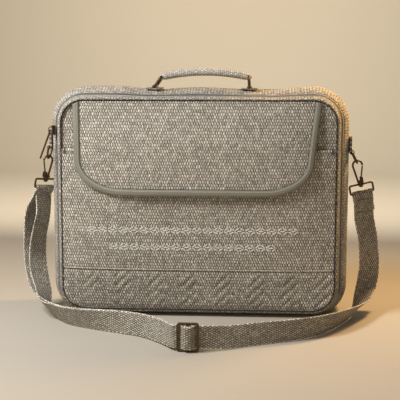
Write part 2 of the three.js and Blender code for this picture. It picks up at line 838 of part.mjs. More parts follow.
// Highest point of the bag's top over a stretch, which the handle's tabs lie on
function crestOver(middle, half) {
  const tops = stations.filter(liesAlongTop).sort((a, b) => a.x - b.x);
  const heightAt = (x) => {
    const next = tops.findIndex((station) => station.x >= x);
    const [a, b] = [tops[next - 1], tops[next]];
    const [za, zb] = [a, b].map((station) => bodyPoint(station, sideSwell, bagDepth / 2, 0).z);
    return THREE.MathUtils.lerp(za, zb, (x - a.x) / (b.x - a.x));
  };
  return Math.max(heightAt(middle - half), heightAt(middle), heightAt(middle + half));
}

// Carrying handle
function buildHandle() {
  const y = -bagDepth / 2 + handleDepth * bagDepth;
  const eyeRadius = handleRingWire + pieceGap;
  const endRadius = eyeRadius + gripEyeThickness;
  const gripNeck = endRadius * 0.8;
  const gripShoulder = 0.12;
  const outline = new THREE.Shape();
  const arch = (share, side) => {
    const swell = THREE.MathUtils.smoothstep(1 - Math.abs(share), 0, gripShoulder);
    const half = THREE.MathUtils.lerp(gripNeck, gripThickness / 2, swell);
    const rise = handleRise * (1 - share ** 2) + side * half;
    return [share * handleHalfSpan, rise];
  };
  outline.moveTo(...arch(-gripEndShare, 1));
  for (let i = 1; i <= gripSteps; i += 1) {
    outline.lineTo(...arch(THREE.MathUtils.lerp(-gripEndShare, gripEndShare, i / gripSteps), 1));
  }
  outline.absarc(handleHalfSpan, 0, endRadius, degrees(70), degrees(-110), true);
  for (let i = 0; i <= gripSteps; i += 1) {
    outline.lineTo(...arch(THREE.MathUtils.lerp(gripEndShare, -gripEndShare, i / gripSteps), -1));
  }
  outline.absarc(-handleHalfSpan, 0, endRadius, degrees(-70), degrees(110), true);
  outline.closePath();
  [-1, 1].forEach((sign) => {
    const eye = new THREE.Path();
    eye.absarc(sign * handleHalfSpan, 0, eyeRadius, 0, 2 * Math.PI, false);
    outline.holes.push(eye);
  });
  const grip = new THREE.ExtrudeGeometry(outline, {
    depth: gripWidth,
    bevelEnabled: false,
    curveSegments: 5,
  });
  grip.translate(0, 0, -gripWidth / 2);
  grip.rotateX(Math.PI / 2);
  const gripMesh = addMesh('handle_grip', grip, clothLook);
  gripMesh.position.set(handleMiddle, y, handleBarHeight);

  const ends = [
    { name: 'left', sign: -1, lean: handleRingLean },
    { name: 'right', sign: 1, lean: 1 },
  ];
  ends.forEach(({ name, sign, lean }) => {
    const barX = handleMiddle + sign * handleHalfSpan;
    const footX = barX + sign * lean;
    const inner = handleRingWire + pieceGap;
    const outer = inner + handleTabThickness;
    const foot = outer + handleTabFoot;
    const footZ = crestOver(footX, foot) + pieceGap + handleRingWire;
    const halfRing = handleRingWidth / 2;
    const bend = handleRingBend;
    const corners = [
      { point: new THREE.Vector3(barX, y - halfRing, handleBarHeight), radius: bend },
      { point: new THREE.Vector3(barX, y + halfRing, handleBarHeight), radius: bend },
      { point: new THREE.Vector3(footX, y + halfRing, footZ), radius: bend },
      { point: new THREE.Vector3(footX, y - halfRing, footZ), radius: bend },
    ];
    const slant = new THREE.Vector3(footX - barX, 0, footZ - handleBarHeight).normalize();
    const normal = new THREE.Vector3().crossVectors(slant, new THREE.Vector3(0, 1, 0));
    addMesh(`handle_ring_${name}`, wireLoop(roundedLoop(corners, 3), normal, handleRingWire), metalLook);

    const base = -handleRingWire;
    const tab = new THREE.Shape();
    tab.moveTo(-foot, base);
    tab.lineTo(-inner, base);
    tab.lineTo(-inner, 0);
    tab.absarc(0, 0, inner, Math.PI, 0, true);
    tab.lineTo(inner, base);
    tab.lineTo(foot, base);
    tab.lineTo(foot, base + handleTabThickness);
    tab.lineTo(outer, base + handleTabThickness);
    tab.absarc(0, 0, outer, 0, Math.PI, false);
    tab.lineTo(-outer, base + handleTabThickness);
    tab.lineTo(-foot, base + handleTabThickness);
    tab.closePath();
    const length = handleRingWidth - 4 * bend;
    const strip = new THREE.ExtrudeGeometry(tab, { depth: length, bevelEnabled: false, curveSegments: 6 });
    strip.translate(0, 0, -length / 2);
    strip.rotateX(Math.PI / 2);
    const tabMesh = addMesh(`handle_tab_${name}`, strip, clothLook);
    tabMesh.position.set(footX, y, footZ);
  });
}

// Frame of one side's hanging hardware: the hook hangs below the ring's lowest wire
const hardwareY = -bagDepth / 2 + ringDepth * bagDepth;
const tabFold = ringWire + pieceGap + tabThickness;
const ringBarX = seamHalfWidth + sideSwell + pieceGap + tabFold;

function hangingPlace(side) {
  const tilt = degrees(side.ringTilt);
  return new THREE.Vector3(
    side.sign * (ringBarX + ringDrop * Math.sin(tilt)),
    hardwareY,
    seamTop - side.ringBelowTop - ringDrop * Math.cos(tilt),
  );
}

function loopFrame(side) {
  const lean = degrees(side.hookLean);
  const down = new THREE.Vector3(side.sign * Math.sin(lean), 0, -Math.cos(lean));
  const turn = degrees(side.loopTurn);
  const outward = new THREE.Vector3(side.sign * Math.cos(turn), -Math.sin(turn), 0);
  const along = outward.addScaledVector(down, -outward.dot(down)).normalize();
  const bar = hangingPlace(side).addScaledVector(down, loopBarDrop);
  return { bar, along, up: down.clone().negate(), through: new THREE.Vector3().crossVectors(along, down) };
}

function buildSide(name, side) {
  const tab = new THREE.Shape();
  const fold = tabFold;
  const tabWidth = ringInnerWidth - 2 * ringBend - 2 * pieceGap;
  const tail = 2 * tabThickness;
  tab.moveTo(-fold, tabTail);
  tab.lineTo(-fold, 0);
  tab.absarc(0, 0, fold, Math.PI, 2 * Math.PI + degrees(100), false);
  tab.lineTo(-fold + tail, fold);
  tab.lineTo(-fold + tail, tabTail);
  tab.closePath();
  const eye = new THREE.Path();
  eye.absarc(0, 0, ringWire + pieceGap, 0, 2 * Math.PI, true);
  tab.holes.push(eye);
  const strip = new THREE.ExtrudeGeometry(tab, { depth: tabWidth, bevelEnabled: false, curveSegments: 6 });
  strip.translate(0, 0, -tabWidth / 2);
  strip.rotateX(Math.PI / 2);
  const hanger = new THREE.Group();
  hanger.position.set(side.sign * ringBarX, hardwareY, seamTop - side.ringBelowTop);
  hanger.rotation.z = side.sign > 0 ? 0 : Math.PI;
  model.add(hanger);
  addMesh(`side_tab_${name}`, strip, clothLook, hanger);

  const half = ringInnerWidth / 2;
  const ringCorners = [
    { point: new THREE.Vector3(0, -half, 0), radius: ringBend },
    { point: new THREE.Vector3(0, half, 0), radius: ringBend },
    { point: new THREE.Vector3(0, half, -ringDrop), radius: half - 0.1 },
    { point: new THREE.Vector3(0, -half, -ringDrop), radius: half - 0.1 },
  ];
  const ring = wireLoop(roundedLoop(ringCorners, 4), new THREE.Vector3(1, 0, 0), ringWire);
  const ringMesh = addMesh(`d_ring_${name}`, ring, metalLook, hanger);
  ringMesh.rotation.y = degrees(-side.ringTilt);

  const hookGroup = new THREE.Group();
  hookGroup.position.copy(hangingPlace(side));
  hookGroup.rotation.order = 'YZX';
  hookGroup.rotation.y = degrees(-side.sign * side.hookLean);
  hookGroup.rotation.z = (side.sign > 0 ? 0 : Math.PI) + degrees(-side.sign * side.hookTurn);
  model.add(hookGroup);
  addMesh(`hook_${name}`, hookGeometry(), metalLook, hookGroup);

  const gatePivot = new THREE.Group();
  gatePivot.position.set(gatePivotAside, 0, -gatePivotDrop);
  hookGroup.add(gatePivot);
  addMesh(`gate_${name}`, gateGeometry(), metalLook, gatePivot);

  addMesh(`strap_loop_${name}`, strapLoopGeometry(side), metalLook);
}

// Centre of the hook's round eye, below the ring wire that it hangs from
const eyeDrop = hookEyeRadius - hookWire - pieceGap - ringWire;

function noseAngle() {
  return degrees(-hookNoseAngle);
}

function cylinder(radius, height, sides) {
  const geometry = new THREE.CylinderGeometry(radius, radius, height, sides);
  geometry.rotateX(Math.PI / 2);
  return geometry;
}

function hookGeometry() {
  const points = [];
  const backAngle = Math.PI + degrees(hookBackSlope);
  const legStart = new THREE.Vector3(
    hookEyeRadius * Math.cos(backAngle),
    0,
    -eyeDrop + hookEyeRadius * Math.sin(backAngle),
  );
  const baseTop = -gatePivotDrop - gateKnuckle - 2 * pieceGap;
  const legDrop = legStart.z - baseTop + hookBaseHeight / 2;
  const legRun = legDrop * Math.tan(degrees(hookBackSlope));
  const legFoot = legStart.clone().add(new THREE.Vector3(legRun, 0, -legDrop));
  points.push(legFoot, legFoot.clone().lerp(legStart, 0.5));
  for (let i = 0; i <= hookArcSteps; i += 1) {
    const angle = THREE.MathUtils.lerp(backAngle, noseAngle(), i / hookArcSteps);
    points.push(new THREE.Vector3(
      hookEyeRadius * Math.cos(angle),
      0,
      -eyeDrop + hookEyeRadius * Math.sin(angle),
    ));
  }
  const wire = wireRun(points, new THREE.Vector3(0, 1, 0), hookWire);

  const baseLeft = legFoot.x - hookWire;
  const baseRight = gatePivotAside + gateKnuckle;
  const cheekOffset = gateKnuckleWidth / 2 + pieceGap + cheekThickness / 2;
  const baseDepth = 2 * (cheekOffset + cheekThickness / 2);
  const base = new THREE.BoxGeometry(baseRight - baseLeft, baseDepth, hookBaseHeight);
  base.translate((baseLeft + baseRight) / 2, 0, baseTop - hookBaseHeight / 2);
  const cheeks = [-1, 1].map((sign) => {
    const drop = gateKnuckle + 2 * pieceGap + hookBaseHeight / 2;
    const disc = new THREE.CylinderGeometry(gateKnuckle, gateKnuckle, cheekThickness, discSides);
    disc.translate(gatePivotAside, sign * cheekOffset, -gatePivotDrop);
    const web = new THREE.BoxGeometry(2 * gateKnuckle * Math.cos(Math.PI / discSides), cheekThickness, drop);
    web.translate(gatePivotAside, sign * cheekOffset, -gatePivotDrop - drop / 2);
    return [disc, web];
  }).flat();
  const pin = new THREE.CylinderGeometry(gatePin, gatePin, baseDepth - cheekThickness, pinSides);
  pin.translate(gatePivotAside, 0, -gatePivotDrop);

  const bossTop = baseTop - hookBaseHeight - pieceGap;
  const headTop = bossTop - bossHeight - pieceGap;
  const postHeight = baseTop - hookBaseHeight / 2 - headTop + swivelHeadHeight / 2;
  const post = cylinder(swivelPost, postHeight, pinSides);
  post.translate(0, 0, baseTop - hookBaseHeight / 2 - postHeight / 2);
  const head = cylinder(swivelHead, swivelHeadHeight, discSides);
  head.translate(0, 0, headTop - swivelHeadHeight / 2);
  return joined([wire, base, ...cheeks, pin, post, head]);
}

// Sprung gate from its pivot up to the hook's nose
function gateGeometry() {
  const nose = new THREE.Vector3(
    hookEyeRadius * Math.cos(noseAngle()) - gatePivotAside,
    0,
    gatePivotDrop - eyeDrop + hookEyeRadius * Math.sin(noseAngle()),
  );
  const reach = nose.length() - 2 * pieceGap;
  const direction = nose.clone().normalize();
  const bar = wireRun(
    [direction.clone().multiplyScalar(gatePin + gateWire), direction.clone().multiplyScalar(reach)],
    new THREE.Vector3(0, 1, 0),
    gateWire,
  );
  const knuckle = new THREE.CylinderGeometry(gateKnuckle, gateKnuckle, gateKnuckleWidth, discSides);
  const boreRadius = gatePin + pieceGap;
  const bore = new THREE.CylinderGeometry(boreRadius, boreRadius, 2 * gateKnuckleWidth, pinSides);
  return fromSolid(toSolid(knuckle).add(toSolid(bar)).subtract(toSolid(bore)));
}

// Rectangular eye with a boss round the swivel post, in the strap's direction
function strapLoopGeometry(side) {
  const { bar, along, up } = loopFrame(side);
  const place = hangingPlace(side);
  const baseBottom = gatePivotDrop + gateKnuckle + 2 * pieceGap + hookBaseHeight;
  const bossMiddle = baseBottom + pieceGap + bossHeight / 2;
  const boss = place.clone().addScaledVector(up, -bossMiddle);
  const half = strapWidth / 2 + loopSlack + loopWire;
  const bend = loopBend;
  const corners = [
    { point: boss.clone().addScaledVector(along, -half), radius: bend },
    { point: boss.clone().addScaledVector(along, half), radius: bend },
    { point: bar.clone().addScaledVector(along, half), radius: bend },
    { point: bar.clone().addScaledVector(along, -half), radius: bend },
  ];
  const normal = new THREE.Vector3().crossVectors(along, up);
  const frame = toSolid(wireLoop(roundedLoop(corners, 2), normal, loopWire));
  const upright = new THREE.Quaternion().setFromUnitVectors(new THREE.Vector3(0, 0, 1), up);
  const collar = cylinder(bossRadius, bossHeight, discSides);
  collar.applyQuaternion(upright);
  collar.translate(boss.x, boss.y, boss.z);
  const hole = cylinder(swivelPost + pieceGap, 2 * bossHeight, pinSides);
  hole.applyQuaternion(upright);
  hole.translate(boss.x, boss.y, boss.z);
  return fromSolid(frame.add(toSolid(collar)).subtract(toSolid(hole)));
}

// One long webbing: sewn round the right loop, along the table through the slider, up round the
// left loop and back to the slider's middle bar
const sliderHeight = strapWidth + 2 * loopSlack + 2 * sliderBar;
const sliderPlace = new THREE.Vector3(sliderMiddle, -strapReach, sliderHeight / 2);

function routePoint(row, hang) {
  const edgeZ = Math.sqrt(Math.max(1 - row.edgeX ** 2 - row.edgeY ** 2, 0));
  return {
    at: new THREE.Vector3(
      row.across * strapSpread,
      -row.ahead * strapReach,
      row.up * hang + strapWidth / 2 * edgeZ + pieceGap,
    ),
    edge: new THREE.Vector3(row.edgeX, row.edgeY, edgeZ),
  };
}

function shiftedLayer(points, distance) {
  return points.map((point, i) => {
    const before = points[Math.max(i - 1, 0)].at;
    const after = points[Math.min(i + 1, points.length - 1)].at;
    const tangent = after.clone().sub(before).normalize();
    const normal = new THREE.Vector3().crossVectors(tangent, point.edge).normalize();
    return { at: point.at.clone().addScaledVector(normal, distance), edge: point.edge.clone() };
  });
}

function roundBar(frame, radius, fromAngle, toAngle, steps) {
  const points = [];
  for (let i = 0; i <= steps; i += 1) {
    const angle = degrees(THREE.MathUtils.lerp(fromAngle, toAngle, i / steps));
    points.push({
      at: frame.bar.clone()
        .addScaledVector(frame.through, radius * Math.cos(angle))
        .addScaledVector(frame.up, radius * Math.sin(angle)),
      edge: frame.along.clone(),
    });
  }
  return points;
}

function sliderPoint(across, behind) {
  return {
    at: sliderPlace.clone().add(new THREE.Vector3(across, behind, 0)),
    edge: new THREE.Vector3(0, 0, 1),
  };
}

function strapPath() {
  const right = loopFrame(sides.right);
  const left = loopFrame(sides.left);
  const wrap = loopWire + 2 * pieceGap + strapThickness / 2;
  const sewn = layerPitch / 2;
  const barPitch = (sliderLength - sliderBar) / 2;
  const behindBar = sliderBar / 2 + 2 * pieceGap + strapThickness / 2;
  const barWrap = sliderBar * Math.SQRT1_2 + 2 * pieceGap + strapThickness / 2;

  const below = (frame, aside, drop) => ({
    at: frame.bar.clone().addScaledVector(frame.through, aside).addScaledVector(frame.up, -drop),
    edge: frame.along.clone(),
  });
  const tailEnd = [below(right, sewn, strapTail), below(right, sewn, strapTail / 2)];
  const rightWrap = roundBar(right, wrap, 0, 180, 6);
  const rightSewn = [below(right, -sewn, strapTail / 3)];
  const rightRoute = rightRun.map((row) => routePoint(row, right.bar.z)).reverse();
  const barClear = sliderBar * 0.6;
  const overBar = barWrap + layerPitch;
  const overBarSide = overBar * 0.9;
  const throughSlider = [
    sliderPoint(barPitch + 3 * barClear, behindBar),
    sliderPoint(barPitch - barClear, behindBar),
    sliderPoint(2 * barClear, -overBarSide),
    sliderPoint(0, -overBar),
    sliderPoint(-2 * barClear, -overBarSide),
    sliderPoint(-barPitch + barClear, behindBar),
    sliderPoint(-barPitch - 3 * barClear, behindBar),
  ];
  const lying = leftRun.map((row) => routePoint(row, left.bar.z));
  const rise = leftRise.map((row) => routePoint(row, left.bar.z));
  const leftWrap = roundBar(left, wrap, 0, 180, 6);
  const fall = leftFall.map((row) => routePoint(row, left.bar.z));
  const lyingBack = shiftedLayer([...lying, rise[0]], -layerPitch).reverse();
  const sewnEnd = [
    sliderPoint(-barPitch - 3 * barClear, behindBar + layerPitch),
    sliderPoint(-barPitch + barClear, behindBar + 1.2 * layerPitch),
  ];
  const barFrame = {
    bar: sliderPlace,
    along: new THREE.Vector3(0, 0, 1),
    through: new THREE.Vector3(0, -1, 0),
    up: new THREE.Vector3(1, 0, 0),
  };
  const endWrap = roundBar(barFrame, barWrap, -50, 190, 7);
  const endTail = [
    sliderPoint(-barPitch, behindBar + 2 * layerPitch),
    sliderPoint(-barPitch - sliderLayerLead, behindBar + 2 * layerPitch + 2),
  ];
  return [
    ...tailEnd, ...rightWrap, ...rightSewn, ...rightRoute, ...throughSlider, ...lying, ...rise,
    ...leftWrap, ...fall, ...lyingBack, ...sewnEnd, ...endWrap, ...endTail,
  ];
}

function buildStrap() {
  const points = strapPath();
  const line = new THREE.CatmullRomCurve3(points.map(({ at }) => at), false, 'centripetal');
  const spans = points.length - 1;
  const rows = [];
  for (let i = 0; i < spans; i += 1) {
    const steps = Math.max(Math.round(points[i].at.distanceTo(points[i + 1].at) / strapStep), 1);
    for (let k = 0; k < steps + (i === spans - 1 ? 1 : 0); k += 1) {
      const share = k / steps;
      const centre = line.getPoint((i + share) / spans);
      const tangent = line.getTangent((i + share) / spans);
      const edge = points[i].edge.clone().lerp(points[i + 1].edge, share);
      edge.addScaledVector(tangent, -edge.dot(tangent)).normalize();
      const face = new THREE.Vector3().crossVectors(tangent, edge);
      const corner = (a, b) => centre.clone()
        .addScaledVector(edge, a * strapWidth / 2)
        .addScaledVector(face, b * strapThickness / 2);
      const section = [corner(1, 1), corner(1, -1), corner(-1, -1), corner(-1, 1)];
      const sunk = Math.max(pieceGap - Math.min(...section.map(({ z }) => z)), 0);
      rows.push(section.map((point) => point.setZ(point.z + sunk)));
    }
  }
  addMesh('strap', loft(rows, false), clothLook);

  const windowLength = (sliderLength - 3 * sliderBar) / 2;
  const windowHeight = sliderHeight - 2 * sliderBar;
  const plate = roundedBox(sliderLength, sliderHeight, sliderCorner);
  [-1, 1].forEach((sign) => {
    const middle = sign * (sliderBar + windowLength) / 2;
    plate.holes.push(roundedBox(windowLength, windowHeight, sliderWindowCorner, middle));
  });
  const slider = new THREE.ExtrudeGeometry(plate, {
    depth: sliderBar,
    bevelEnabled: false,
    curveSegments: 2,
  });
  slider.translate(0, 0, -sliderBar / 2);
  slider.rotateX(Math.PI / 2);
  const sliderMesh = addMesh('strap_slider', slider, metalLook);
  sliderMesh.position.copy(sliderPlace);
}

function roundedBox(width, height, radius, middle = 0) {
  const shape = new THREE.Shape();
  const right = width / 2;
  const top = height / 2;
  shape.moveTo(middle - right + radius, -top);
  shape.lineTo(middle + right - radius, -top);
  shape.absarc(middle + right - radius, -top + radius, radius, -Math.PI / 2, 0, false);
  shape.lineTo(middle + right, top - radius);
  shape.absarc(middle + right - radius, top - radius, radius, 0, Math.PI / 2, false);
  shape.lineTo(middle - right + radius, top);
  shape.absarc(middle - right + radius, top - radius, radius, Math.PI / 2, Math.PI, false);
  shape.lineTo(middle - right, -top + radius);
  shape.absarc(middle - right + radius, -top + radius, radius, Math.PI, Math.PI * 1.5, false);
  shape.closePath();
  return shape;
}

buildBody();
buildZip();
buildFlap();
buildHandle();
Object.entries(sides).forEach(([name, side]) => buildSide(name, side));
buildStrap();

export default model;
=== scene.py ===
"""Soft carrying bag for a prayer shawl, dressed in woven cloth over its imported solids.

Metres. +X to the right, +Y to the back, +Z up. The origin is the middle of the flat bottom.
"""

import math

import bmesh
import bpy
import numpy as np
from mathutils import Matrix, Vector, noise


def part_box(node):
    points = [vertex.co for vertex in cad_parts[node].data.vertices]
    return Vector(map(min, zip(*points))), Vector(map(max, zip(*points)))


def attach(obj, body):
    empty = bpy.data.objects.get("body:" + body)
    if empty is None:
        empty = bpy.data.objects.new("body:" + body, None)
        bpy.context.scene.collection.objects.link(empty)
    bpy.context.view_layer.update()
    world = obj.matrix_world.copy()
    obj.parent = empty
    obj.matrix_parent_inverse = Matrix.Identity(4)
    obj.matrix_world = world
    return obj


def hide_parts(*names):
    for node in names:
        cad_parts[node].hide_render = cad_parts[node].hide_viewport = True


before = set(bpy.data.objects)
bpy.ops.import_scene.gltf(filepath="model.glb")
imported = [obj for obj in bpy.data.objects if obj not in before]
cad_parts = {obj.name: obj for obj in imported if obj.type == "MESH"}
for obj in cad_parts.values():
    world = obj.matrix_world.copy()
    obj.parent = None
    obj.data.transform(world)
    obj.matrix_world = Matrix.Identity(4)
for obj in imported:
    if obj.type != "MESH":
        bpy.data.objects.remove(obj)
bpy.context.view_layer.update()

MM = 0.001

# Sizes taken from the solids
panel_low, panel_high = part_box("front_panel")
deep_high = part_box("rear_gusset")[1]
hem_low, hem_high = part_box("pocket_hem")
tape_low, tape_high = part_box("flap_binding")
grip_low, grip_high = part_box("handle_grip")
seam_half_width = panel_high.x
seam_bottom = panel_low.z
seam_top = panel_high.z
front_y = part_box("front_gusset")[0].y
back_y = deep_high.y
bag_depth = back_y - front_y
side_swell = deep_high.x - seam_half_width
top_swell = deep_high.z - seam_top
pocket_mouth = hem_high.z
band_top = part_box("chevron_band")[1].z
flap_bottom = tape_low.z
flap_shift = (tape_low.x + tape_high.x) / 2
flap_half_width = (tape_high.x - tape_low.x) / 2

# Sizes of the cloth
corner_radius = 31 * MM
front_lean = 5 * MM
top_sag = 5.5 * MM
panel_dome = 5 * MM
front_unevenness = 0.8 * MM
back_dome = 5 * MM
back_unevenness = 0.9 * MM
wall = 2.4 * MM
cloth = 1.8 * MM
gap = 0.3 * MM
pocket_room = 8 * MM
pocket_fullest = 0.66
front_band_width = 10 * MM
zip_width = 11 * MM
zip_recess = 0.5 * MM
zip_end_height = 34 * MM
flap_taper_left = 3.5 * MM
flap_taper_right = 16 * MM
flap_corner_width = 66 * MM
flap_corner_height = 47 * MM
flap_flare = 5 * MM
flap_flare_height = 93 * MM
flap_thickness = 2.2 * MM
flap_clearance = 1.3 * MM
flap_pinch_reach = 14 * MM
binding_width = 9 * MM
binding_thickness = 3 * MM
welt_stand = 3.6 * MM
seam_width = 1.1 * MM
quilt_period = 46 * MM
quilt_rise = 23 * MM
quilt_spacing = 14 * MM

# How far the gusset stands out: shares of the bag's depth, and of side_swell
SWELL = [
    (0, 0.2), (0.06, 0.29), (0.115, 0.37), (0.24, 0.58), (0.36, 0.82),
    (0.5, 1), (0.76, 1), (0.9, 0.9), (1, 0.7),
]
# Dips of the soft top: shares of the seam's half width, and of top_sag
SAG = [(-1, 0), (-0.62, 0), (-0.35, 0.82), (0, 0.35), (0.37, 0.85), (0.55, 1), (0.74, 0.25), (1, 0)]


# Shader arithmetic
class Field:
    """A shader socket that takes part in Python arithmetic."""

    def __init__(self, finish, socket):
        self.finish = finish
        self.socket = socket

    def maths(self, operation, *values):
        node = self.finish.node("ShaderNodeMath", {"operation": operation}, *values)
        return Field(self.finish, node.outputs[0])

    def __add__(self, other):
        return self.maths("ADD", self, other)

    def __sub__(self, other):
        return self.maths("SUBTRACT", self, other)

    def __rsub__(self, other):
        return self.maths("SUBTRACT", other, self)

    def __mul__(self, other):
        return self.maths("MULTIPLY", self, other)

    def __truediv__(self, other):
        return self.maths("DIVIDE", self, other)

    def __pow__(self, other):
        return self.maths("POWER", self, other)

    __radd__ = __add__
    __rmul__ = __mul__

    def whole(self):
        return self.maths("FLOOR", self)

    def part(self):
        return self.maths("FRACT", self)

    def size(self):
        return self.maths("ABSOLUTE", self)

    def wave(self):
        return self.maths("COSINE", self)

    def clamped(self, low=0, high=1):
        return self.maths("MINIMUM", self.maths("MAXIMUM", self, low), high)


class Finish:
    """A material whose nodes are added one at a time."""

    def __init__(self, name):
        self.material = bpy.data.materials.new(name)
        self.material.use_nodes = True
        self.tree = self.material.node_tree
        self.surface = self.tree.nodes["Principled BSDF"]

    def node(self, kind, settings, *values, **named):
        node = self.tree.nodes.new(kind)
        for key, value in settings.items():
            setattr(node, key, value)
        for key, value in enumerate(values):
            self.feed(node.inputs[key], value)
        for key, value in named.items():
            self.feed(node.inputs[key.replace("_", " ")], value)
        return node

    def feed(self, socket, value):
        if isinstance(value, Field):
            value = value.socket
        if isinstance(value, bpy.types.NodeSocket):
            self.tree.links.new(value, socket)
        else:
            socket.default_value = value

    def field(self, node, output=0):
        return Field(self, node.outputs[output])

    def place(self):
        return self.node("ShaderNodeTexCoord", {}).outputs["Object"]

    def cloth_map(self):
        return self.node("ShaderNodeUVMap", {"uv_map": "cloth"}).outputs[0]

    def split(self, vector):
        return self.node("ShaderNodeSeparateXYZ", {}, vector)

    def mix(self, share, low, high, blend="MIX"):
        node = self.node("ShaderNodeMix", {"data_type": "RGBA", "blend_type": blend})
        self.feed(node.inputs[0], share)
        self.feed(node.inputs[6], low)
        self.feed(node.inputs[7], high)
        return node.outputs[2]

    def noise(self, vector, scale, detail=2.0, roughness=0.5):
        node = self.node(
            "ShaderNodeTexNoise", {}, Vector=vector, Scale=scale, Detail=detail, Roughness=roughness
        )
        return Field(self, node.outputs[0])

    def bump(self, height, distance):
        node = self.node("ShaderNodeBump", {}, Height=height, Distance=distance, Strength=1.0)
        self.feed(self.surface.inputs["Normal"], node.outputs[0])

    def set(self, **values):
        for name, value in values.items():
            self.feed(self.surface.inputs[name.replace("_", " ")], value)


def rgb(red, green, blue):
    return (red, green, blue, 1)


def woven(name, weft, warp, shade, pitch, row_height, relief, wander=0.8, edge=None):
    """Coarse plain weave on the cloth's own metric map: pale floats over grey-brown picks, darkened
    towards the shade colour where the yarns sink, which paints the shade between them.
    """
    drift_scale, cloud_scale, fibre_scale = 150.0, 26.0, (3200.0, 700.0, 1.0)
    float_slant, float_height = 0.45, 0.53
    least_width, width_spread = 0.29, 0.13
    turns_up, turns_aside = 4.6, 3.2
    crispness, streak, edge_highlight_gain = 7, 0.16, 0.9
    finish = Finish(name)
    place = finish.place()
    cloth_map = finish.cloth_map()
    split = finish.split(cloth_map)
    loose = finish.node("ShaderNodeTexNoise", {}, Vector=place, Scale=drift_scale, Detail=2.0)
    drift = finish.split(loose.outputs[1])
    along = finish.field(split, 1) / row_height + (finish.field(drift, 1) - 0.5) * wander
    row = along.whole()
    beside = finish.field(split, 0) / pitch + (finish.field(drift, 0) - 0.5) * wander
    beside = beside + (row * 0.5).part()
    column = beside.whole()
    cell = finish.node("ShaderNodeCombineXYZ", {}, column, row, 0.0).outputs[0]
    lot = finish.node("ShaderNodeTexWhiteNoise", {"noise_dimensions": "3D"}, cell)
    lots = finish.split(lot.outputs[1])
    tilt, girth, tone = (finish.field(lots, k) for k in range(3))
    up = along.part() - 0.5
    aside = beside.part() - 0.5 + up * (tilt - 0.4) * float_slant
    reach = aside / (least_width + width_spread * girth)
    rise = up / float_height
    pale = (1 - reach * reach - rise * rise * rise * rise).clamped() ** 0.5
    twist = ((up * turns_up + aside * turns_aside) * (2 * math.pi)).wave()
    pick = ((up * math.pi).wave() ** 0.7) * 0.5
    bare = (beside.part() - 0.5).size()
    ground = pick * (0.55 + 0.9 * bare)
    drawn = finish.node("ShaderNodeVectorMath", {"operation": "MULTIPLY"}, cloth_map, fibre_scale)
    fibre = finish.noise(drawn.outputs[0], 1.0, 3.0, 0.65)
    cloud = finish.noise(place, cloud_scale, 4.0, 0.6)
    over = ((pale - ground) * crispness + 0.5).clamped()
    height = pale.maths("MAXIMUM", pale, ground)
    light = 0.72 + 0.5 * tone + (fibre - 0.5) * 0.5 + twist * 0.09
    grey = 0.8 + 0.4 * girth + (fibre - 0.5) * 0.5
    level = (light * over + grey * (1 - over)) * (1 - streak + 2 * streak * cloud)
    yarn = finish.mix(over, warp, weft)
    # Painted shade: the colour runs down to the shade colour where the yarns lie low, in place of the
    # shade that falls between them.
    colour = finish.mix((height * 1.45 - 0.12).clamped(), shade, yarn)
    # Partly a painted highlight: the strap's edges are made lighter, partly as paler edge yarns and
    # partly in place of the light caught on their rounded sides.
    if edge:
        selvedge_and_highlight = ((finish.field(split, 0).size() - edge) * (1 / MM)).clamped()
        level = level * (1 + edge_highlight_gain * selvedge_and_highlight)
    tint = finish.node("ShaderNodeCombineXYZ", {}, level, level, level).outputs[0]
    finish.set(Base_Color=finish.mix(1.0, colour, tint, "MULTIPLY"), Roughness=0.93)
    finish.set(Specular_IOR_Level=0.2)
    finish.bump(height + fibre * 0.2 + twist * over * 0.12, relief)
    return finish.material


def taped(name, light, dark, rib, relief, roughness):
    """Smooth narrow tape with fine ribs across its length."""
    finish = Finish(name)
    along = finish.field(finish.split(finish.cloth_map()), 1)
    ribs = (along * (2 * math.pi / rib)).wave() * 0.5 + 0.5
    cloud = finish.noise(finish.place(), 45.0, 3.0)
    share = (0.35 * ribs + 0.65 * cloud).clamped()
    finish.set(Base_Color=finish.mix(share, dark, light), Roughness=roughness)
    finish.set(Sheen_Weight=0.15, Sheen_Roughness=0.4, Specular_IOR_Level=0.4)
    finish.bump(ribs, relief)
    return finish.material


def spun(name, light, dark):
    """Twisted sewing thread."""
    finish = Finish(name)
    twist = finish.noise(finish.place(), 1500.0, 2.0)
    finish.set(Base_Color=finish.mix(twist, dark, light), Roughness=0.6)
    finish.bump(twist, 0.2 * MM)
    return finish.material


def cast(name, light, dark, roughness):
    """Antique plated metal, worn bright on its ridges, where the brightening also paints a highlight.
    """
    ridge_light, patina_light = 9, 0.42
    finish = Finish(name)
    patina = finish.noise(finish.place(), 420.0, 4.0, 0.6)
    ridge = finish.field(finish.node("ShaderNodeNewGeometry", {}), "Pointiness")
    # Partly worn plating and partly a painted highlight: lighter on sharp ridges and in random patches.
    rubbed_and_highlight = ((ridge - 0.5) * ridge_light + patina * patina_light).clamped()
    finish.set(
        Base_Color=finish.mix(rubbed_and_highlight, dark, light),
        Roughness=roughness + 0.25 * patina,
        Metallic=1.0,
    )
    finish.bump(patina, 0.08 * MM)
    return finish.material


cloth_look = woven(
    "woven_cloth",
    weft=rgb(0.7, 0.655, 0.585),
    warp=rgb(0.3, 0.272, 0.23),
    shade=rgb(0.1, 0.089, 0.073),
    pitch=3.44 * MM,
    row_height=4.1 * MM,
    relief=0.9 * MM,
)
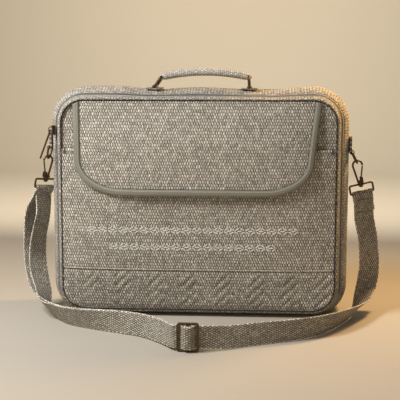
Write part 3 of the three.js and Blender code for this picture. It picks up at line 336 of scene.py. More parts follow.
# Painted light: the bag's cloth woven finer and made lighter, standing in for the light that falls on
# the handle.
handle_lit_look = woven(
    "handle_cloth_painted_light",
    weft=rgb(0.85, 0.8, 0.73),
    warp=rgb(0.46, 0.43, 0.38),
    shade=rgb(0.16, 0.145, 0.125),
    pitch=2.7 * MM,
    row_height=2.7 * MM,
    relief=0.6 * MM,
)
webbing_look = woven(
    "strap_webbing",
    weft=rgb(0.56, 0.52, 0.45),
    warp=rgb(0.23, 0.21, 0.175),
    shade=rgb(0.06, 0.052, 0.043),
    pitch=3.0 * MM,
    row_height=3.1 * MM,
    relief=0.7 * MM,
    wander=0.25,
    # Where the lighter band along the strap's edges begins, partly a painted highlight.
    edge=12.8 * MM,
)
binding_look = taped(
    "satin_binding",
    light=rgb(0.25, 0.24, 0.2),
    dark=rgb(0.18, 0.172, 0.142),
    rib=0.9 * MM,
    relief=0.1 * MM,
    roughness=0.55,
)
zip_tape_look = taped(
    "zip_tape",
    light=rgb(0.4, 0.385, 0.35),
    dark=rgb(0.29, 0.28, 0.255),
    rib=0.8 * MM,
    relief=0.12 * MM,
    roughness=0.75,
)
# Partly painted shade: dark piping whose near-black colour also stands in for the shaded groove along
# the seam.
seam_and_groove_shade_look = taped(
    "dark_seam",
    light=rgb(0.035, 0.03, 0.025),
    dark=rgb(0.012, 0.01, 0.009),
    rib=1.3 * MM,
    relief=0.3 * MM,
    roughness=0.85,
)
teeth_look = spun("nylon_teeth", rgb(0.24, 0.23, 0.215), rgb(0.13, 0.125, 0.115))
pale_thread = spun("pale_thread", rgb(0.72, 0.68, 0.6), rgb(0.5, 0.46, 0.39))
grey_thread = spun("grey_thread", rgb(0.34, 0.33, 0.28), rgb(0.2, 0.19, 0.16))
dark_thread = spun("dark_thread", rgb(0.1, 0.09, 0.075), rgb(0.05, 0.045, 0.04))
white_thread = spun("white_thread", rgb(0.86, 0.85, 0.82), rgb(0.66, 0.64, 0.6))
bronze = cast("antique_bronze", rgb(0.32, 0.225, 0.125), rgb(0.02, 0.015, 0.011), 0.3)


# Meshes
def build(name, points, faces, face_uvs, look, replaced):
    mesh = bpy.data.meshes.new(name)
    mesh.from_pydata(np.asarray(points, float).tolist(), [], np.asarray(faces).tolist())
    layer = mesh.uv_layers.new(name="cloth")
    layer.data.foreach_set("uv", np.asarray(face_uvs, np.float32).ravel())
    mesh.materials.append(look)
    if enclosed(mesh) < 0:
        mesh.flip_normals()
    return place_piece(name, mesh, replaced)


def linked(name, data):
    thing = bpy.data.objects.new(name, data)
    bpy.context.scene.collection.objects.link(thing)
    return thing


def place_piece(name, mesh, replaced, body="bag"):
    mesh.shade_smooth()
    mesh.set_sharp_from_angle(angle=math.radians(50))
    piece = linked(name, mesh)
    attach(piece, body)
    if replaced:
        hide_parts(*replaced)
    return piece


def vertex_places(mesh):
    points = np.empty(len(mesh.vertices) * 3)
    mesh.vertices.foreach_get("co", points)
    return points.reshape(-1, 3)


def enclosed(mesh):
    """Six times the volume inside the mesh, below zero where its faces look inwards."""
    points = vertex_places(mesh)
    mesh.calc_loop_triangles()
    corners = np.empty(len(mesh.loop_triangles) * 3, int)
    mesh.loop_triangles.foreach_get("vertices", corners)
    a, b, c = points[corners.reshape(-1, 3).T]
    return float((a * np.cross(b, c)).sum())


def loft(name, sections, uvs, look, replaced=(), endless=False):
    """Skin over closed sections. uvs has one more column, and one more row where it is endless."""
    rows, columns = sections.shape[:2]
    spans = rows if endless else rows - 1
    i, j = np.meshgrid(np.arange(spans), np.arange(columns), indexing="ij")
    next_row = (i + 1) % rows
    next_column = (j + 1) % columns
    here, ahead = i * columns, next_row * columns
    faces = np.stack([here + j, ahead + j, ahead + next_column, here + next_column], -1).reshape(-1, 4)
    corners = np.stack([uvs[i, j], uvs[i + 1, j], uvs[i + 1, j + 1], uvs[i, j + 1]], 2)
    corners = corners.reshape(-1, 4, 2)
    if not endless:
        k = np.arange(columns // 2 - 1)
        strip = np.stack([k, k + 1, columns - 2 - k, columns - 1 - k], -1)
        last = (rows - 1) * columns
        faces = np.concatenate([faces, strip, last + strip[:, ::-1]])
        corners = np.concatenate([corners, uvs[0][strip], uvs[rows - 1][strip[:, ::-1]]])
    return build(name, sections.reshape(-1, 3), faces, corners, look, replaced)


def along_line(points):
    """Distance along the line from its first point to each one."""
    steps = np.linalg.norm(np.diff(points, axis=0), axis=1)
    return np.concatenate([[0], np.cumsum(steps)])


def metric_map(across, along):
    return np.stack(np.broadcast_arrays(across[None], along[:, None]), -1)


def facing(count, direction=(0.0, -1.0, 0.0)):
    """The same direction for every point, towards the front where none is given."""
    return np.tile(direction, (count, 1))


def unit(vectors):
    return vectors / np.maximum(np.linalg.norm(vectors, axis=1, keepdims=True), 1e-9)


def smooth_step(value, low=0.0, high=1.0):
    share = np.clip((value - low) / (high - low), 0, 1)
    return share * share * (3 - 2 * share)


def table_value(rows, place):
    """Smooth curve through a short table, flat where the table turns."""
    keys, values = np.array(rows, float).T
    k = np.clip(np.searchsorted(keys, place) - 1, 0, len(keys) - 2)
    before, after = np.maximum(k - 1, 0), np.minimum(k + 2, len(keys) - 1)
    low, high = values[k], values[k + 1]
    span, rise = keys[k + 1] - keys[k], high - low
    share = np.clip((place - keys[k]) / span, 0, 1)
    climb = (high - values[before]) / (keys[k + 1] - keys[before]) * span
    start = np.where((low - values[before]) * rise <= 0, 0, climb)
    climb = (values[after] - low) / (keys[after] - keys[k]) * span
    end = np.where((values[after] - high) * rise <= 0, 0, climb)
    s2, s3 = share**2, share**3
    ends = (2 * s3 - 3 * s2 + 1) * low + (3 * s2 - 2 * s3) * high
    return ends + (s3 - 2 * s2 + share) * start + (s3 - s2) * end


def ripple(x, z, size, seed):
    """Gentle unevenness of hand-cut cloth, from -1 to 1."""
    flat = np.stack([np.ravel(x) / size, np.ravel(z) / size], -1)
    values = [noise.noise(Vector((a, b, seed))) for a, b in flat]
    return np.array(values).reshape(np.shape(x))


# Form of the body
def outline(step):
    """Points once round the seam from the middle of the bottom, with normals and length."""
    half, radius = seam_half_width - corner_radius, corner_radius
    low, high = seam_bottom + radius, seam_top - radius
    corners = [(half, low, -90), (half, high, 0), (-half, high, 90), (-half, low, 180)]
    rows = []

    def straight(start, end, normal):
        count = max(int(math.dist(start, end) / step), 1)
        for share in np.arange(count) / count:
            x, z = (a + (b - a) * share for a, b in zip(start, end))
            rows.append((x, z, *normal))

    straight((0, seam_bottom), (half, seam_bottom), (0, -1))
    for index, (cx, cz, angle) in enumerate(corners):
        count = int(radius * math.pi / 2 / step) + 4
        for share in np.arange(count + 1) / count:
            turn = math.radians(angle + 90 * share)
            normal = (math.cos(turn), math.sin(turn))
            if share < 1:
                rows.append((cx + radius * normal[0], cz + radius * normal[1], *normal))
        start = (cx + radius * normal[0], cz + radius * normal[1])
        if index < 3:
            ahead = corners[index + 1]
            end = (ahead[0] + radius * normal[0], ahead[1] + radius * normal[1])
        else:
            end = (0, seam_bottom)
        straight(start, end, normal)
    run = np.array(rows).T
    dx, dz, dnx, dnz = (np.diff(v, append=v[0]) for v in run)
    steps = np.hypot(dx, dz)
    usual_reach = side_swell * 0.7
    swung = np.hypot(dnx, dnz) * usual_reach
    return (*run, np.concatenate([[0], np.cumsum(steps + swung)]))


def height_share(z):
    return np.clip((z - seam_bottom) / (seam_top - seam_bottom), 0, 1)


def body_point(run, reach, depth, floor):
    """Places that stand out from the seam by reach, at a depth behind the front."""
    x, z, nx, nz = (v[:, None] for v in run[:4])
    upward = np.maximum(nz, 0)
    out_x = x + nx * reach
    share = np.clip(reach / side_swell, 0, 1)
    sag = top_sag * share * table_value(SAG, out_x / seam_half_width) * smooth_step(nz, 0.9, 1)
    swell = 1 + (top_swell / side_swell - 1) * upward
    out_z = np.maximum(z + nz * reach * swell - sag, floor)
    y = front_y + depth + front_lean * height_share(out_z) * (1 - depth / bag_depth)
    return np.stack(np.broadcast_arrays(out_x, y, out_z), -1)


def reach_at(depth):
    return side_swell * table_value(SWELL, depth / bag_depth)


def slope_at(depth):
    step = 1 * MM
    return (reach_at(depth + step / 2) - reach_at(depth - step / 2)) / step


def half_width_at(z, reach=0.0):
    radius = corner_radius + reach
    top = seam_top + reach * top_swell / side_swell
    bottom = seam_bottom - reach
    into = np.maximum(np.maximum(z - (top - radius), bottom + radius - z), 0)
    return seam_half_width + reach - radius + np.sqrt(np.maximum(radius**2 - into**2, 0))


def fall(share):
    return np.maximum(1 - share**4, 0)


def bulge(x, z):
    middle, half = (seam_top + seam_bottom) / 2, (seam_top - seam_bottom) / 2
    return fall(x / seam_half_width) * fall((z - middle) / half)


def front_face(x, z):
    uneven = front_unevenness * ripple(x, z, 70 * MM, 3.0) * bulge(x, z)
    return front_y + front_lean * height_share(z) - panel_dome * bulge(x, z) + uneven


def closing(z):
    return np.where(z > pocket_mouth, smooth_step((seam_top - z) / (seam_top - pocket_mouth)), 1)


def pocket_lift(z):
    share = np.clip((z - seam_bottom) / (pocket_mouth - seam_bottom), 0, 1)
    return np.sin(math.pi * pocket_fullest * share) * closing(z)


def pocket_back(x, z):
    return front_face(x, z) - 2 * gap - pocket_room * fall(x / seam_half_width) * pocket_lift(z)


def pocket_front(x, z):
    return pocket_back(x, z) - cloth


def flap_curl(x, z):
    """How far the flap's lower edge stands off the pocket, flat at its left corner."""
    down = np.clip((flap_bottom + flap_flare_height - z) / flap_flare_height, 0, 1)
    return flap_flare * down**1.5 * smooth_step(x / flap_half_width, -0.85, -0.35)


def flap_back(x, z):
    layers = (2 * gap + cloth) * closing(z)
    room = pocket_room * fall(x / seam_half_width) * pocket_lift(z)
    return front_face(x, z) - layers - room - flap_clearance - flap_curl(x, z)


def panel_levels(low, high, count, reach=0.0):
    """Heights closer together round the corners."""
    radius = corner_radius + reach
    bottom, top = seam_bottom - reach, seam_top + reach * top_swell / side_swell
    turn = 1 - np.cos(np.linspace(0, math.pi / 2, 14))
    inner = np.linspace(bottom + radius, top - radius, count)
    levels = np.concatenate([bottom + radius * turn, inner, top - radius * turn])
    spare = 0.4 * MM
    levels = levels[(levels > low + spare) & (levels < high - spare)]
    levels = np.unique(np.round(levels, 5))
    return np.concatenate([[low], levels, [high]])


def panel(name, levels, width_of, front_of, back_of, replaced, columns=120):
    """Flat piece of the woven cloth between two faces, closer meshed towards its sides."""
    share = np.sin(np.linspace(-math.pi / 2, math.pi / 2, columns + 1))
    share = 0.5 * share + 0.5 * np.linspace(-1, 1, columns + 1)
    z = np.repeat(levels[:, None], columns + 1, 1)
    x = share[None] * width_of(levels)[:, None]
    front = np.stack([x, front_of(x, z), z], -1)
    back = np.stack([x, back_of(x, z), z], -1)
    sections = np.concatenate([front, back[:, ::-1]], 1)
    uvs = sections[..., [0, 2]]
    uvs = np.concatenate([uvs, uvs[:, :1]], 1)
    return loft(name, sections, uvs, cloth_look, replaced)


def quilting(x, z):
    """Zigzag channels stitched across the lower band, from 0 in a channel to 1 beside it."""
    zigzag = quilt_rise * np.abs(2 * ((x / quilt_period) % 1) - 1)
    channel = np.abs(((z - zigzag) / quilt_spacing) % 1 - 0.5) * 2
    inside = smooth_step(band_top - z, 2 * MM, 7 * MM)
    inside = inside * smooth_step(z - seam_bottom, 2 * MM, 7 * MM)
    return (1 - channel**3) * inside


panel(
    "front_cloth",
    panel_levels(seam_bottom, seam_top, 60),
    half_width_at,
    front_face,
    lambda x, z: front_face(x, z) + wall,
    ["front_panel"],
)
pocket_cloth = panel(
    "pocket_cloth",
    panel_levels(band_top + gap, hem_low.z - gap, 60),
    half_width_at,
    pocket_front,
    pocket_back,
    ["pocket_panel"],
)


def hem_face(x, z):
    """Turned edge that stands out a little and rolls in along both its sides."""
    across = (z - hem_low.z) / (hem_high.z - hem_low.z) * 2 - 1
    stand = 0.5 * MM * np.sqrt(np.maximum(1 - across**4, 0))
    return pocket_front(x, z) - stand + 0.6 * MM * across**8


panel(
    "pocket_hem_fold",
    np.linspace(hem_low.z, hem_high.z, 13),
    half_width_at,
    hem_face,
    pocket_back,
    ["pocket_hem"],
)
panel(
    "quilted_band",
    panel_levels(seam_bottom, band_top, 95),
    half_width_at,
    lambda x, z: pocket_back(x, z) - cloth * 0.35 - cloth * 1.05 * quilting(x, z),
    pocket_back,
    ["chevron_band"],
    columns=320,
)

back_reach = float(reach_at(bag_depth))
back_top = seam_top + back_reach * top_swell / side_swell


def back_face(x, z):
    middle, half = back_top / 2, back_top / 2
    dome = fall(x / (seam_half_width + back_reach)) * fall((z - middle) / half)
    uneven = back_unevenness * ripple(x, z, 80 * MM, 7.0) * dome
    return back_y + gap + back_dome * dome + uneven


panel(
    "back_cloth",
    panel_levels(0.0, back_top, 60, back_reach),
    lambda z: half_width_at(z, back_reach),
    lambda x, z: back_face(x, z) + wall,
    back_face,
    ["back_panel"],
)

# Gusset bands
fine_run = outline(step=2.2 * MM)


def gusset_band(
    name, start, end, columns, replaced, pillow, pucker,
    thickness=wall, recess=0, look=cloth_look,
):
    """Band once round the bag, rolled in by pillow and gathered by pucker along its seams."""
    depth = np.linspace(start, end, columns)
    reach = reach_at(depth)
    normal = np.stack([np.ones(columns), -slope_at(depth)])
    normal = normal / np.linalg.norm(normal, axis=0)
    edge = np.minimum(depth - start, end - depth)
    rolled = pillow * (1 - smooth_step(edge, 0, 2.5 * MM))
    length = fine_run[4]
    along = np.repeat(length[:-1, None], columns, 1)
    seams = 1 - smooth_step(edge, 0, 7 * MM)
    gathers = ripple(along, np.repeat(depth[None], len(length) - 1, 0), 5 * MM, 11.0)
    puckered = pucker * gathers * (0.25 + 0.75 * seams)
    sink = recess + rolled[None] + np.abs(puckered)
    under = recess + thickness
    outside, inside = (
        body_point(fine_run, reach - below * normal[0], depth - below * normal[1], below)
        for below in (sink, under)
    )
    sections = np.concatenate([outside, inside[:, ::-1]], 1)
    profile = np.concatenate([[0], np.cumsum(np.hypot(np.diff(depth), np.diff(reach)))])
    round_width = profile[-1] + thickness
    across = np.concatenate([profile, round_width + profile, [2 * round_width]])
    uvs = metric_map(across, length)
    return loft(name, sections, uvs, look, replaced, endless=True)


zip_end = front_band_width + zip_width
gusset_band(
    "front_band_cloth", 0, front_band_width, 14, ["front_gusset"], pillow=0.7 * MM, pucker=0.25 * MM
)
gusset_band(
    "zip_tape_cloth",
    front_band_width + gap,
    zip_end,
    8,
    ["zip_tape"],
    pillow=0.1 * MM,
    pucker=0.1 * MM,
    thickness=1.2 * MM,
    recess=zip_recess,
    look=zip_tape_look,
)
gusset_band(
    "deep_gusset_cloth", zip_end + gap, bag_depth, 44, ["rear_gusset"], pillow=0.8 * MM, pucker=0.5 * MM
)


# Seam cord: a narrow upright wall with a rounded front, near black, which also paints the shade of the
# groove along the seam
half = seam_width / 2
turn = np.linspace(math.pi, 0, 7)
reach = np.concatenate([gap + half + half * np.cos(turn), [gap + seam_width, gap]])
depth = np.concatenate([half * (1 - np.sin(turn)) - welt_stand, [wall, wall]])
loft(
    "front_seam_cord",
    body_point(fine_run, reach, depth, 0),
    metric_map(np.linspace(0, 6 * MM, len(reach) + 1), fine_run[4]),
    seam_and_groove_shade_look,
    ["front_welt"],
    endless=True,
)


# Threads, teeth and other small repeats
def bead_tree():
    """Geometry nodes that set one small rounded bead on each point, along its own directions."""
    tree = bpy.data.node_groups.new("beads_on_points", "GeometryNodeTree")
    kinds = {"Points": "Geometry", "Length": "Float", "Width": "Float", "Height": "Float"}
    kinds.update({"Spread": "Float", "Seed": "Int", "Finish": "Material"})
    for label, kind in kinds.items():
        tree.interface.new_socket(label, in_out="INPUT", socket_type="NodeSocket" + kind)
    tree.interface.new_socket("Beads", in_out="OUTPUT", socket_type="NodeSocketGeometry")

    def add(kind, inputs, **settings):
        node = tree.nodes.new(kind)
        for key, value in settings.items():
            setattr(node, key, value)
        for key, value in inputs.items():
            if isinstance(value, bpy.types.NodeSocket):
                tree.links.new(value, node.inputs[key])
            else:
                node.inputs[key].default_value = value
        return node

    given = add("NodeGroupInput", {})
    bead = add("GeometryNodeMeshUVSphere", {"Segments": 8, "Rings": 6, "Radius": 0.5})
    along = add("GeometryNodeInputNamedAttribute", {"Name": "along"}, data_type="FLOAT_VECTOR")
    out = add("GeometryNodeInputNamedAttribute", {"Name": "out"}, data_type="FLOAT_VECTOR")
    first = add("FunctionNodeAlignRotationToVector", {"Vector": along.outputs[0]}, axis="X")
    second = add(
        "FunctionNodeAlignRotationToVector",
        {"Rotation": first.outputs[0], "Vector": out.outputs[0]},
        axis="Z",
        pivot_axis="X",
    )
    size = add(
        "ShaderNodeCombineXYZ",
        {"X": given.outputs["Length"], "Y": given.outputs["Width"], "Z": given.outputs["Height"]},
    )
    least = add("ShaderNodeMath", {0: 1.0, 1: given.outputs["Spread"]}, operation="SUBTRACT")
    most = add("ShaderNodeMath", {0: 1.0, 1: given.outputs["Spread"]}, operation="ADD")
    uneven = add(
        "FunctionNodeRandomValue",
        {2: least.outputs[0], 3: most.outputs[0], "Seed": given.outputs["Seed"]},
        data_type="FLOAT",
    )
    scaled = add(
        "ShaderNodeVectorMath", {0: size.outputs[0], "Scale": uneven.outputs[1]}, operation="SCALE"
    )
    placed = add(
        "GeometryNodeInstanceOnPoints",
        {
            "Points": given.outputs["Points"],
            "Instance": bead.outputs[0],
            "Rotation": second.outputs[0],
            "Scale": scaled.outputs[0],
        },
    )
    real = add("GeometryNodeRealizeInstances", {"Geometry": placed.outputs[0]})
    smooth = add("GeometryNodeSetShadeSmooth", {"Geometry": real.outputs[0]})
    finished = add(
        "GeometryNodeSetMaterial", {"Geometry": smooth.outputs[0], "Material": given.outputs["Finish"]}
    )
    add("NodeGroupOutput", {0: finished.outputs[0]})
    return tree


beads = bead_tree()


def baked(holder, name):
    """The mesh that the holder's modifiers make. The holder goes."""
    shown = holder.evaluated_get(bpy.context.evaluated_depsgraph_get())
    mesh = bpy.data.meshes.new_from_object(shown)
    bpy.data.objects.remove(holder)
    mesh.name = name
    return mesh


def beaded(name, points, along, out, size, look, replaced=(), spread=0.06, seed=1):
    """One mesh of small rounded beads, such as stitches or zip teeth."""
    source = bpy.data.meshes.new(name + "_points")
    source.from_pydata(np.asarray(points, float).tolist(), [], [])
    for label, vectors in (("along", along), ("out", out)):
        layer = source.attributes.new(label, "FLOAT_VECTOR", "POINT")
        layer.data.foreach_set("vector", np.asarray(vectors, np.float32).ravel())
    holder = linked(name + "_points", source)
    modifier = holder.modifiers.new("beads", "NODES")
    modifier.node_group = beads
    values = dict(zip(("Length", "Width", "Height"), size), Spread=spread, Seed=seed, Finish=look)
    for item in beads.interface.items_tree:
        if item.in_out == "INPUT" and item.name in values:
            modifier[item.identifier] = values[item.name]
    return place_piece(name, baked(holder, name), replaced)


def spaced(line, out, pitch, lift=0.0):
    """Even places along a line with their directions, each raised along its outward vector."""
    line, out = np.asarray(line, float), np.asarray(out, float)
    length = along_line(line)
    count = max(int(length[-1] / pitch), 1)
    at = (np.arange(count) + 0.5) * length[-1] / count

    def read(rows, places):
        return np.stack([np.interp(places, length, rows[:, k]) for k in range(3)], -1)

    outward = unit(read(out, at))
    along = read(line, at + 0.3 * pitch) - read(line, at - 0.3 * pitch)
    return read(line, at) + lift * outward, unit(along), outward


def stitched(name, lines, pitch, size, look, lift, seed=1):
    runs = [spaced(line, out, pitch, lift) for line, out in lines]
    points, along, out = (np.concatenate(parts) for parts in zip(*runs))
    return beaded(name, points, along, out, size, look, seed=seed)


def front_line(x, z, face):
    """A line on the front, with the outward direction there."""
    return np.stack([x, face(x, z), z], -1), facing(len(x))


# Length, width and height of each kind of bead
thread = (3.2 * MM, 1.3 * MM, 0.9 * MM)
fine_thread = (2.3 * MM, 0.6 * MM, 0.5 * MM)
tack_thread = (2.6 * MM, 0.8 * MM, 1.0 * MM)
flap_thread = (1.9 * MM, 0.8 * MM, 0.6 * MM)
fold_thread = (2.2 * MM, 1.1 * MM, 0.7 * MM)
ornament_bead = (7.6 * MM, 1.7 * MM, 1.1 * MM)
tooth = (2.9 * MM, 0.95 * MM, 1.5 * MM)

side_margin = 3 * MM
seam_x = np.linspace(-seam_half_width + side_margin, seam_half_width - side_margin, 160)

stitched(
    "band_seam_stitches",
    [front_line(seam_x, np.full(len(seam_x), band_top + 0.5 * MM), pocket_front)],
    pitch=3.3 * MM,
    size=thread,
    look=pale_thread,
    lift=0.35 * MM,
)
stitched(
    "hem_stitches",
    [front_line(seam_x, np.full(len(seam_x), hem_low.z - 0.9 * MM), pocket_front)],
    pitch=3.3 * MM,
    size=fine_thread,
    look=pale_thread,
    lift=0.2 * MM,
)

tack_z = np.arange(hem_low.z - MM, hem_high.z + 2 * MM, 0.75 * MM)
tacks = []
for side in (-1, 1):
    x = side * (seam_half_width - 5 * MM) + np.zeros(len(tack_z))
    y = pocket_front(x, np.minimum(tack_z, hem_high.z)) - 0.5 * MM
    tacks.append(np.stack([x, y, tack_z], -1))
tack_points = np.concatenate(tacks)
beaded(
    "hem_bar_tacks",
    tack_points,
    facing(len(tack_points), (1.0, 0.0, 0.0)),
    facing(len(tack_points)),
    tack_thread,
    dark_thread,
    seed=12,
)


# Flap
def seam_top_at(x):
    into = np.maximum(np.abs(x) - (seam_half_width - corner_radius), 0)
    return seam_top - corner_radius + np.sqrt(np.maximum(corner_radius**2 - into**2, 0))


def flap_side(sign, inset, side_rows=34, corner_rows=30):
    """One side of the flap's edge, from the top seam round to the flat bottom."""
    taper = flap_taper_left if sign < 0 else flap_taper_right
    top, low = seam_top - gap, flap_bottom + flap_corner_height
    z = np.linspace(top, low, side_rows, endpoint=False)
    side = flap_half_width - taper * (top - z) / (top - flap_bottom) - inset
    middle = flap_half_width - taper * (top - low) / (top - flap_bottom) - flap_corner_width
    turn = np.linspace(0, math.pi / 2, corner_rows)
    across = np.concatenate([side, middle + (flap_corner_width - inset) * np.cos(turn)])
    z = np.concatenate([z, low - (flap_corner_height - inset) * np.sin(turn)])
    return flap_shift + sign * across, z


def flap_edge(inset, bottom_rows=80):
    """The whole edge from the upper left round to the upper right."""
    left, z = flap_side(-1, inset)
    right = flap_side(1, inset)[0]
    x = np.concatenate([left, np.linspace(left[-1], right[-1], bottom_rows + 2)[1:-1], right[::-1]])
    return x, np.concatenate([z, np.full(bottom_rows, z[-1]), z[::-1]])


def under_seam(x, z):
    return np.minimum(z, seam_top_at(x) - 3 * gap)


def flap_cushion(from_edge, z):
    """Thickness of the flap: pinched where the binding holds it."""
    inside = np.minimum(from_edge, z - (flap_bottom + binding_width))
    return flap_thickness * (0.55 + 0.45 * smooth_step(inside, 0, flap_pinch_reach))


left, flap_levels = flap_side(-1, binding_width + gap)
flap_width = flap_side(1, binding_width + gap)[0] - left
share = np.linspace(0, 1, 141)
x = left[:, None] + share[None] * flap_width[:, None]
z = np.repeat(flap_levels[:, None], len(share), 1)
height = under_seam(x, z)
thick = flap_cushion(np.minimum(share, 1 - share)[None] * flap_width[:, None], z)
front = np.stack([x, flap_back(x, z) - thick, height], -1)
back = np.stack([x, flap_back(x, z), height], -1)
sections = np.concatenate([front, back[:, ::-1]], 1)
uvs = sections[..., [0, 2]]
flap_cloth = loft(
    "flap_cloth", sections, np.concatenate([uvs, uvs[:, :1]], 1), cloth_look, ["flap"]
)

profile_turn = np.linspace(math.radians(8), math.radians(172), 11)
inward = (1 - np.cos(profile_turn)) / 2
inward = (inward - inward[0]) / (inward[-1] - inward[0])
stand = np.sin(profile_turn) ** 0.55


def edge_line(inset, stand):
    """The flap's edge drawn in by inset, at a distance in front of the flap's back."""
    x, z = flap_edge(inset)
    return np.stack([x, flap_back(x, z) - stand, under_seam(x, z)], -1)


lines = [edge_line(a * binding_width, b * binding_thickness) for a, b in zip(inward, stand)]
lines += [edge_line(share_in * binding_width, 0) for share_in in (0.9, 0.1)]
lines.append(lines[-1] * 0.5 + lines[0] * 0.5)
sections = np.stack(lines, 1)
around = np.linspace(0, 2.2 * binding_width, sections.shape[1] + 1)
flap_tape = loft(
    "flap_edge_tape",
    sections,
    metric_map(around, along_line(sections[:, 0])),
    binding_look,
    ["flap_binding"],
)

# Dark stitches just inside the binding, made dark so they also paint the shaded groove along its inner
# edge.
inner_line = edge_line(binding_width + 0.6 * MM, 0.6 * flap_thickness)
tape_line = edge_line(binding_width - 2.5 * MM, 0.95 * binding_thickness)
forward = facing(len(tape_line))
flap_stitches = stitched(
    "flap_stitches", [(inner_line, forward)], 2.9 * MM, flap_thread, dark_thread, 0.25 * MM, seed=4
)
tape_stitches = stitched(
    "flap_tape_stitches", [(tape_line, forward)], 2.9 * MM, fine_thread, pale_thread, 0.1 * MM, seed=5
)


# Zip
def gusset_line(depth, lift, keep=None):
    """Line round the gusset with its outward directions: closed, or only the points to keep."""
    reach = float(reach_at(depth)) + lift
    points = body_point(fine_run, np.array([reach]), np.array([depth]), 0)[:, 0]
    base = body_point(fine_run, np.array([reach - MM]), np.array([depth]), 0)[:, 0]
    slope = float(slope_at(depth))
    out = points - base
    out[:, 1] -= slope * np.linalg.norm(out, axis=1)
    if keep is not None:
        points, out = points[keep], out[keep]
    else:
        points, out = np.concatenate([points, points[:1]]), np.concatenate([out, out[:1]])
    return points, unit(out)


zip_middle = front_band_width + gap + zip_width / 2
above_end = np.where(fine_run[1] > zip_end_height)[0]
coil_line, coil_out = gusset_line(zip_middle, 0.2 * MM, above_end)
tooth_pitch = 1.5 * MM
points, along, out = spaced(coil_line, coil_out, tooth_pitch)
across = np.cross(along, out)
tooth_points = [
    points + side * 1.25 * MM * across + side * (tooth_pitch / 4) * along for side in (-1, 1)
]
beaded(
    "zip_teeth",
    np.concatenate(tooth_points),
    np.tile(across, (2, 1)),
    np.tile(out, (2, 1)),
    tooth,
    teeth_look,
    ["zip_coil"],
    spread=0.03,
)
stitch_inset = 1.8 * MM
zip_lines = [
    gusset_line(depth, 0.0) for depth in (front_band_width - stitch_inset, zip_end + gap + stitch_inset)
]
stitched(
    "zip_edge_stitches", zip_lines, 3.2 * MM, fine_thread, grey_thread, 0.0, seed=6
)


# Handle
def superellipse(count, power=2.6):
    turn = np.linspace(0, 2 * math.pi, count, endpoint=False)
    return [np.sign(v) * np.abs(v) ** (2 / power) for v in (np.cos(turn), np.sin(turn))]


grip_middle = (grip_low + grip_high) / 2
bar_radius = 4.3 * MM
grip_half_thickness = 5.5 * MM
grip_half_span = (grip_high.x - grip_low.x) / 2 - bar_radius
grip_half_width = (grip_high.y - grip_low.y) / 2
bar_height = grip_low.z + bar_radius
grip_rise = grip_high.z - bar_height - grip_half_thickness
ends = grip_half_span + bar_radius * np.sin(np.linspace(0, math.pi / 2, 8)[1:])
spine = np.concatenate([-ends[::-1], np.linspace(-grip_half_span, grip_half_span, 90), ends])
across_share = np.clip(np.abs(spine) / grip_half_span, 0, 1)
past = np.maximum(np.abs(spine) - grip_half_span, 0)
full = smooth_step(1 - across_share, 0, 0.12)
half_thick = bar_radius + (grip_half_thickness - bar_radius) * full
half_thick = half_thick * np.sqrt(np.maximum(1 - (past / bar_radius) ** 2, 0.004))
ring_y, ring_z = superellipse(44)
grip_x = grip_middle.x + spine
grip_z = bar_height + grip_rise * (1 - across_share**2)
y = grip_middle.y + ring_y[None] * grip_half_width * (1 - 0.04 * (1 - full[:, None]))
creased = 0.35 * MM * ripple(np.repeat(grip_x[:, None], len(ring_y), 1), y, 8 * MM, 5.0)
z = grip_z[:, None] + ring_z[None] * (half_thick[:, None] + creased * full[:, None])
sections = np.stack(np.broadcast_arrays(grip_x[:, None], y, z), -1)
round_y = np.append(ring_y, ring_y[0]) * grip_half_width
round_z = np.append(ring_z, ring_z[0]) * grip_half_thickness
handle_pad = loft(
    "handle_cushion",
    sections,
    metric_map(along_line(np.stack([round_y, round_z], -1)), grip_x),
    handle_lit_look,
    ["handle_grip"],
)
grip_lines = []
for side in (-1, 1):
    inner = np.abs(spine) < grip_half_span - 3 * MM
    line = np.stack(
        [
            grip_x[inner],
            np.full(inner.sum(), grip_middle.y + side * (grip_half_width - 0.4 * MM)),
            grip_z[inner] - 0.45 * half_thick[inner],
        ],
        -1,
    )
    grip_lines.append((line, facing(len(line), (0.0, side, -0.2))))
stitched(
    "handle_stitches",
    grip_lines,
    pitch=3.0 * MM,
    size=fine_thread,
    look=grey_thread,
    lift=0.15 * MM,
    seed=7,
)


# Metal and folded tabs, rounded from their solids
weld = 0.001 * MM


def rounded(
    node, ending, look=bronze, body="bag",
    voxel=0.35 * MM, rounds=5, uv_axes=(1, 2),
):
    """A finer copy of a solid, with its facets and edges worn round."""
    name = f"{node}_{ending}"
    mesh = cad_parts[node].data.copy()
    mesh.materials.clear()
    grown = bmesh.new()
    grown.from_mesh(mesh)
    bmesh.ops.remove_doubles(grown, verts=grown.verts, dist=weld)
    grown.to_mesh(mesh)
    grown.free()
    holder = linked(name + "_rough", mesh)
    remesh = holder.modifiers.new("skin", "REMESH")
    remesh.mode = "VOXEL"
    remesh.voxel_size = voxel
    soften = holder.modifiers.new("soften", "SMOOTH")
    soften.factor = 0.5
    soften.iterations = rounds
    made = baked(holder, name)
    made.materials.clear()
    made.materials.append(look)
    loops = np.empty(len(made.loops), int)
    made.loops.foreach_get("vertex_index", loops)
    for layer in list(made.uv_layers):
        made.uv_layers.remove(layer)
    layer = made.uv_layers.new(name="cloth")
    uvs = vertex_places(made)[loops][:, list(uv_axes)]
    layer.data.foreach_set("uv", uvs.astype(np.float32).ravel())
    return place_piece(name, made, [node], body)


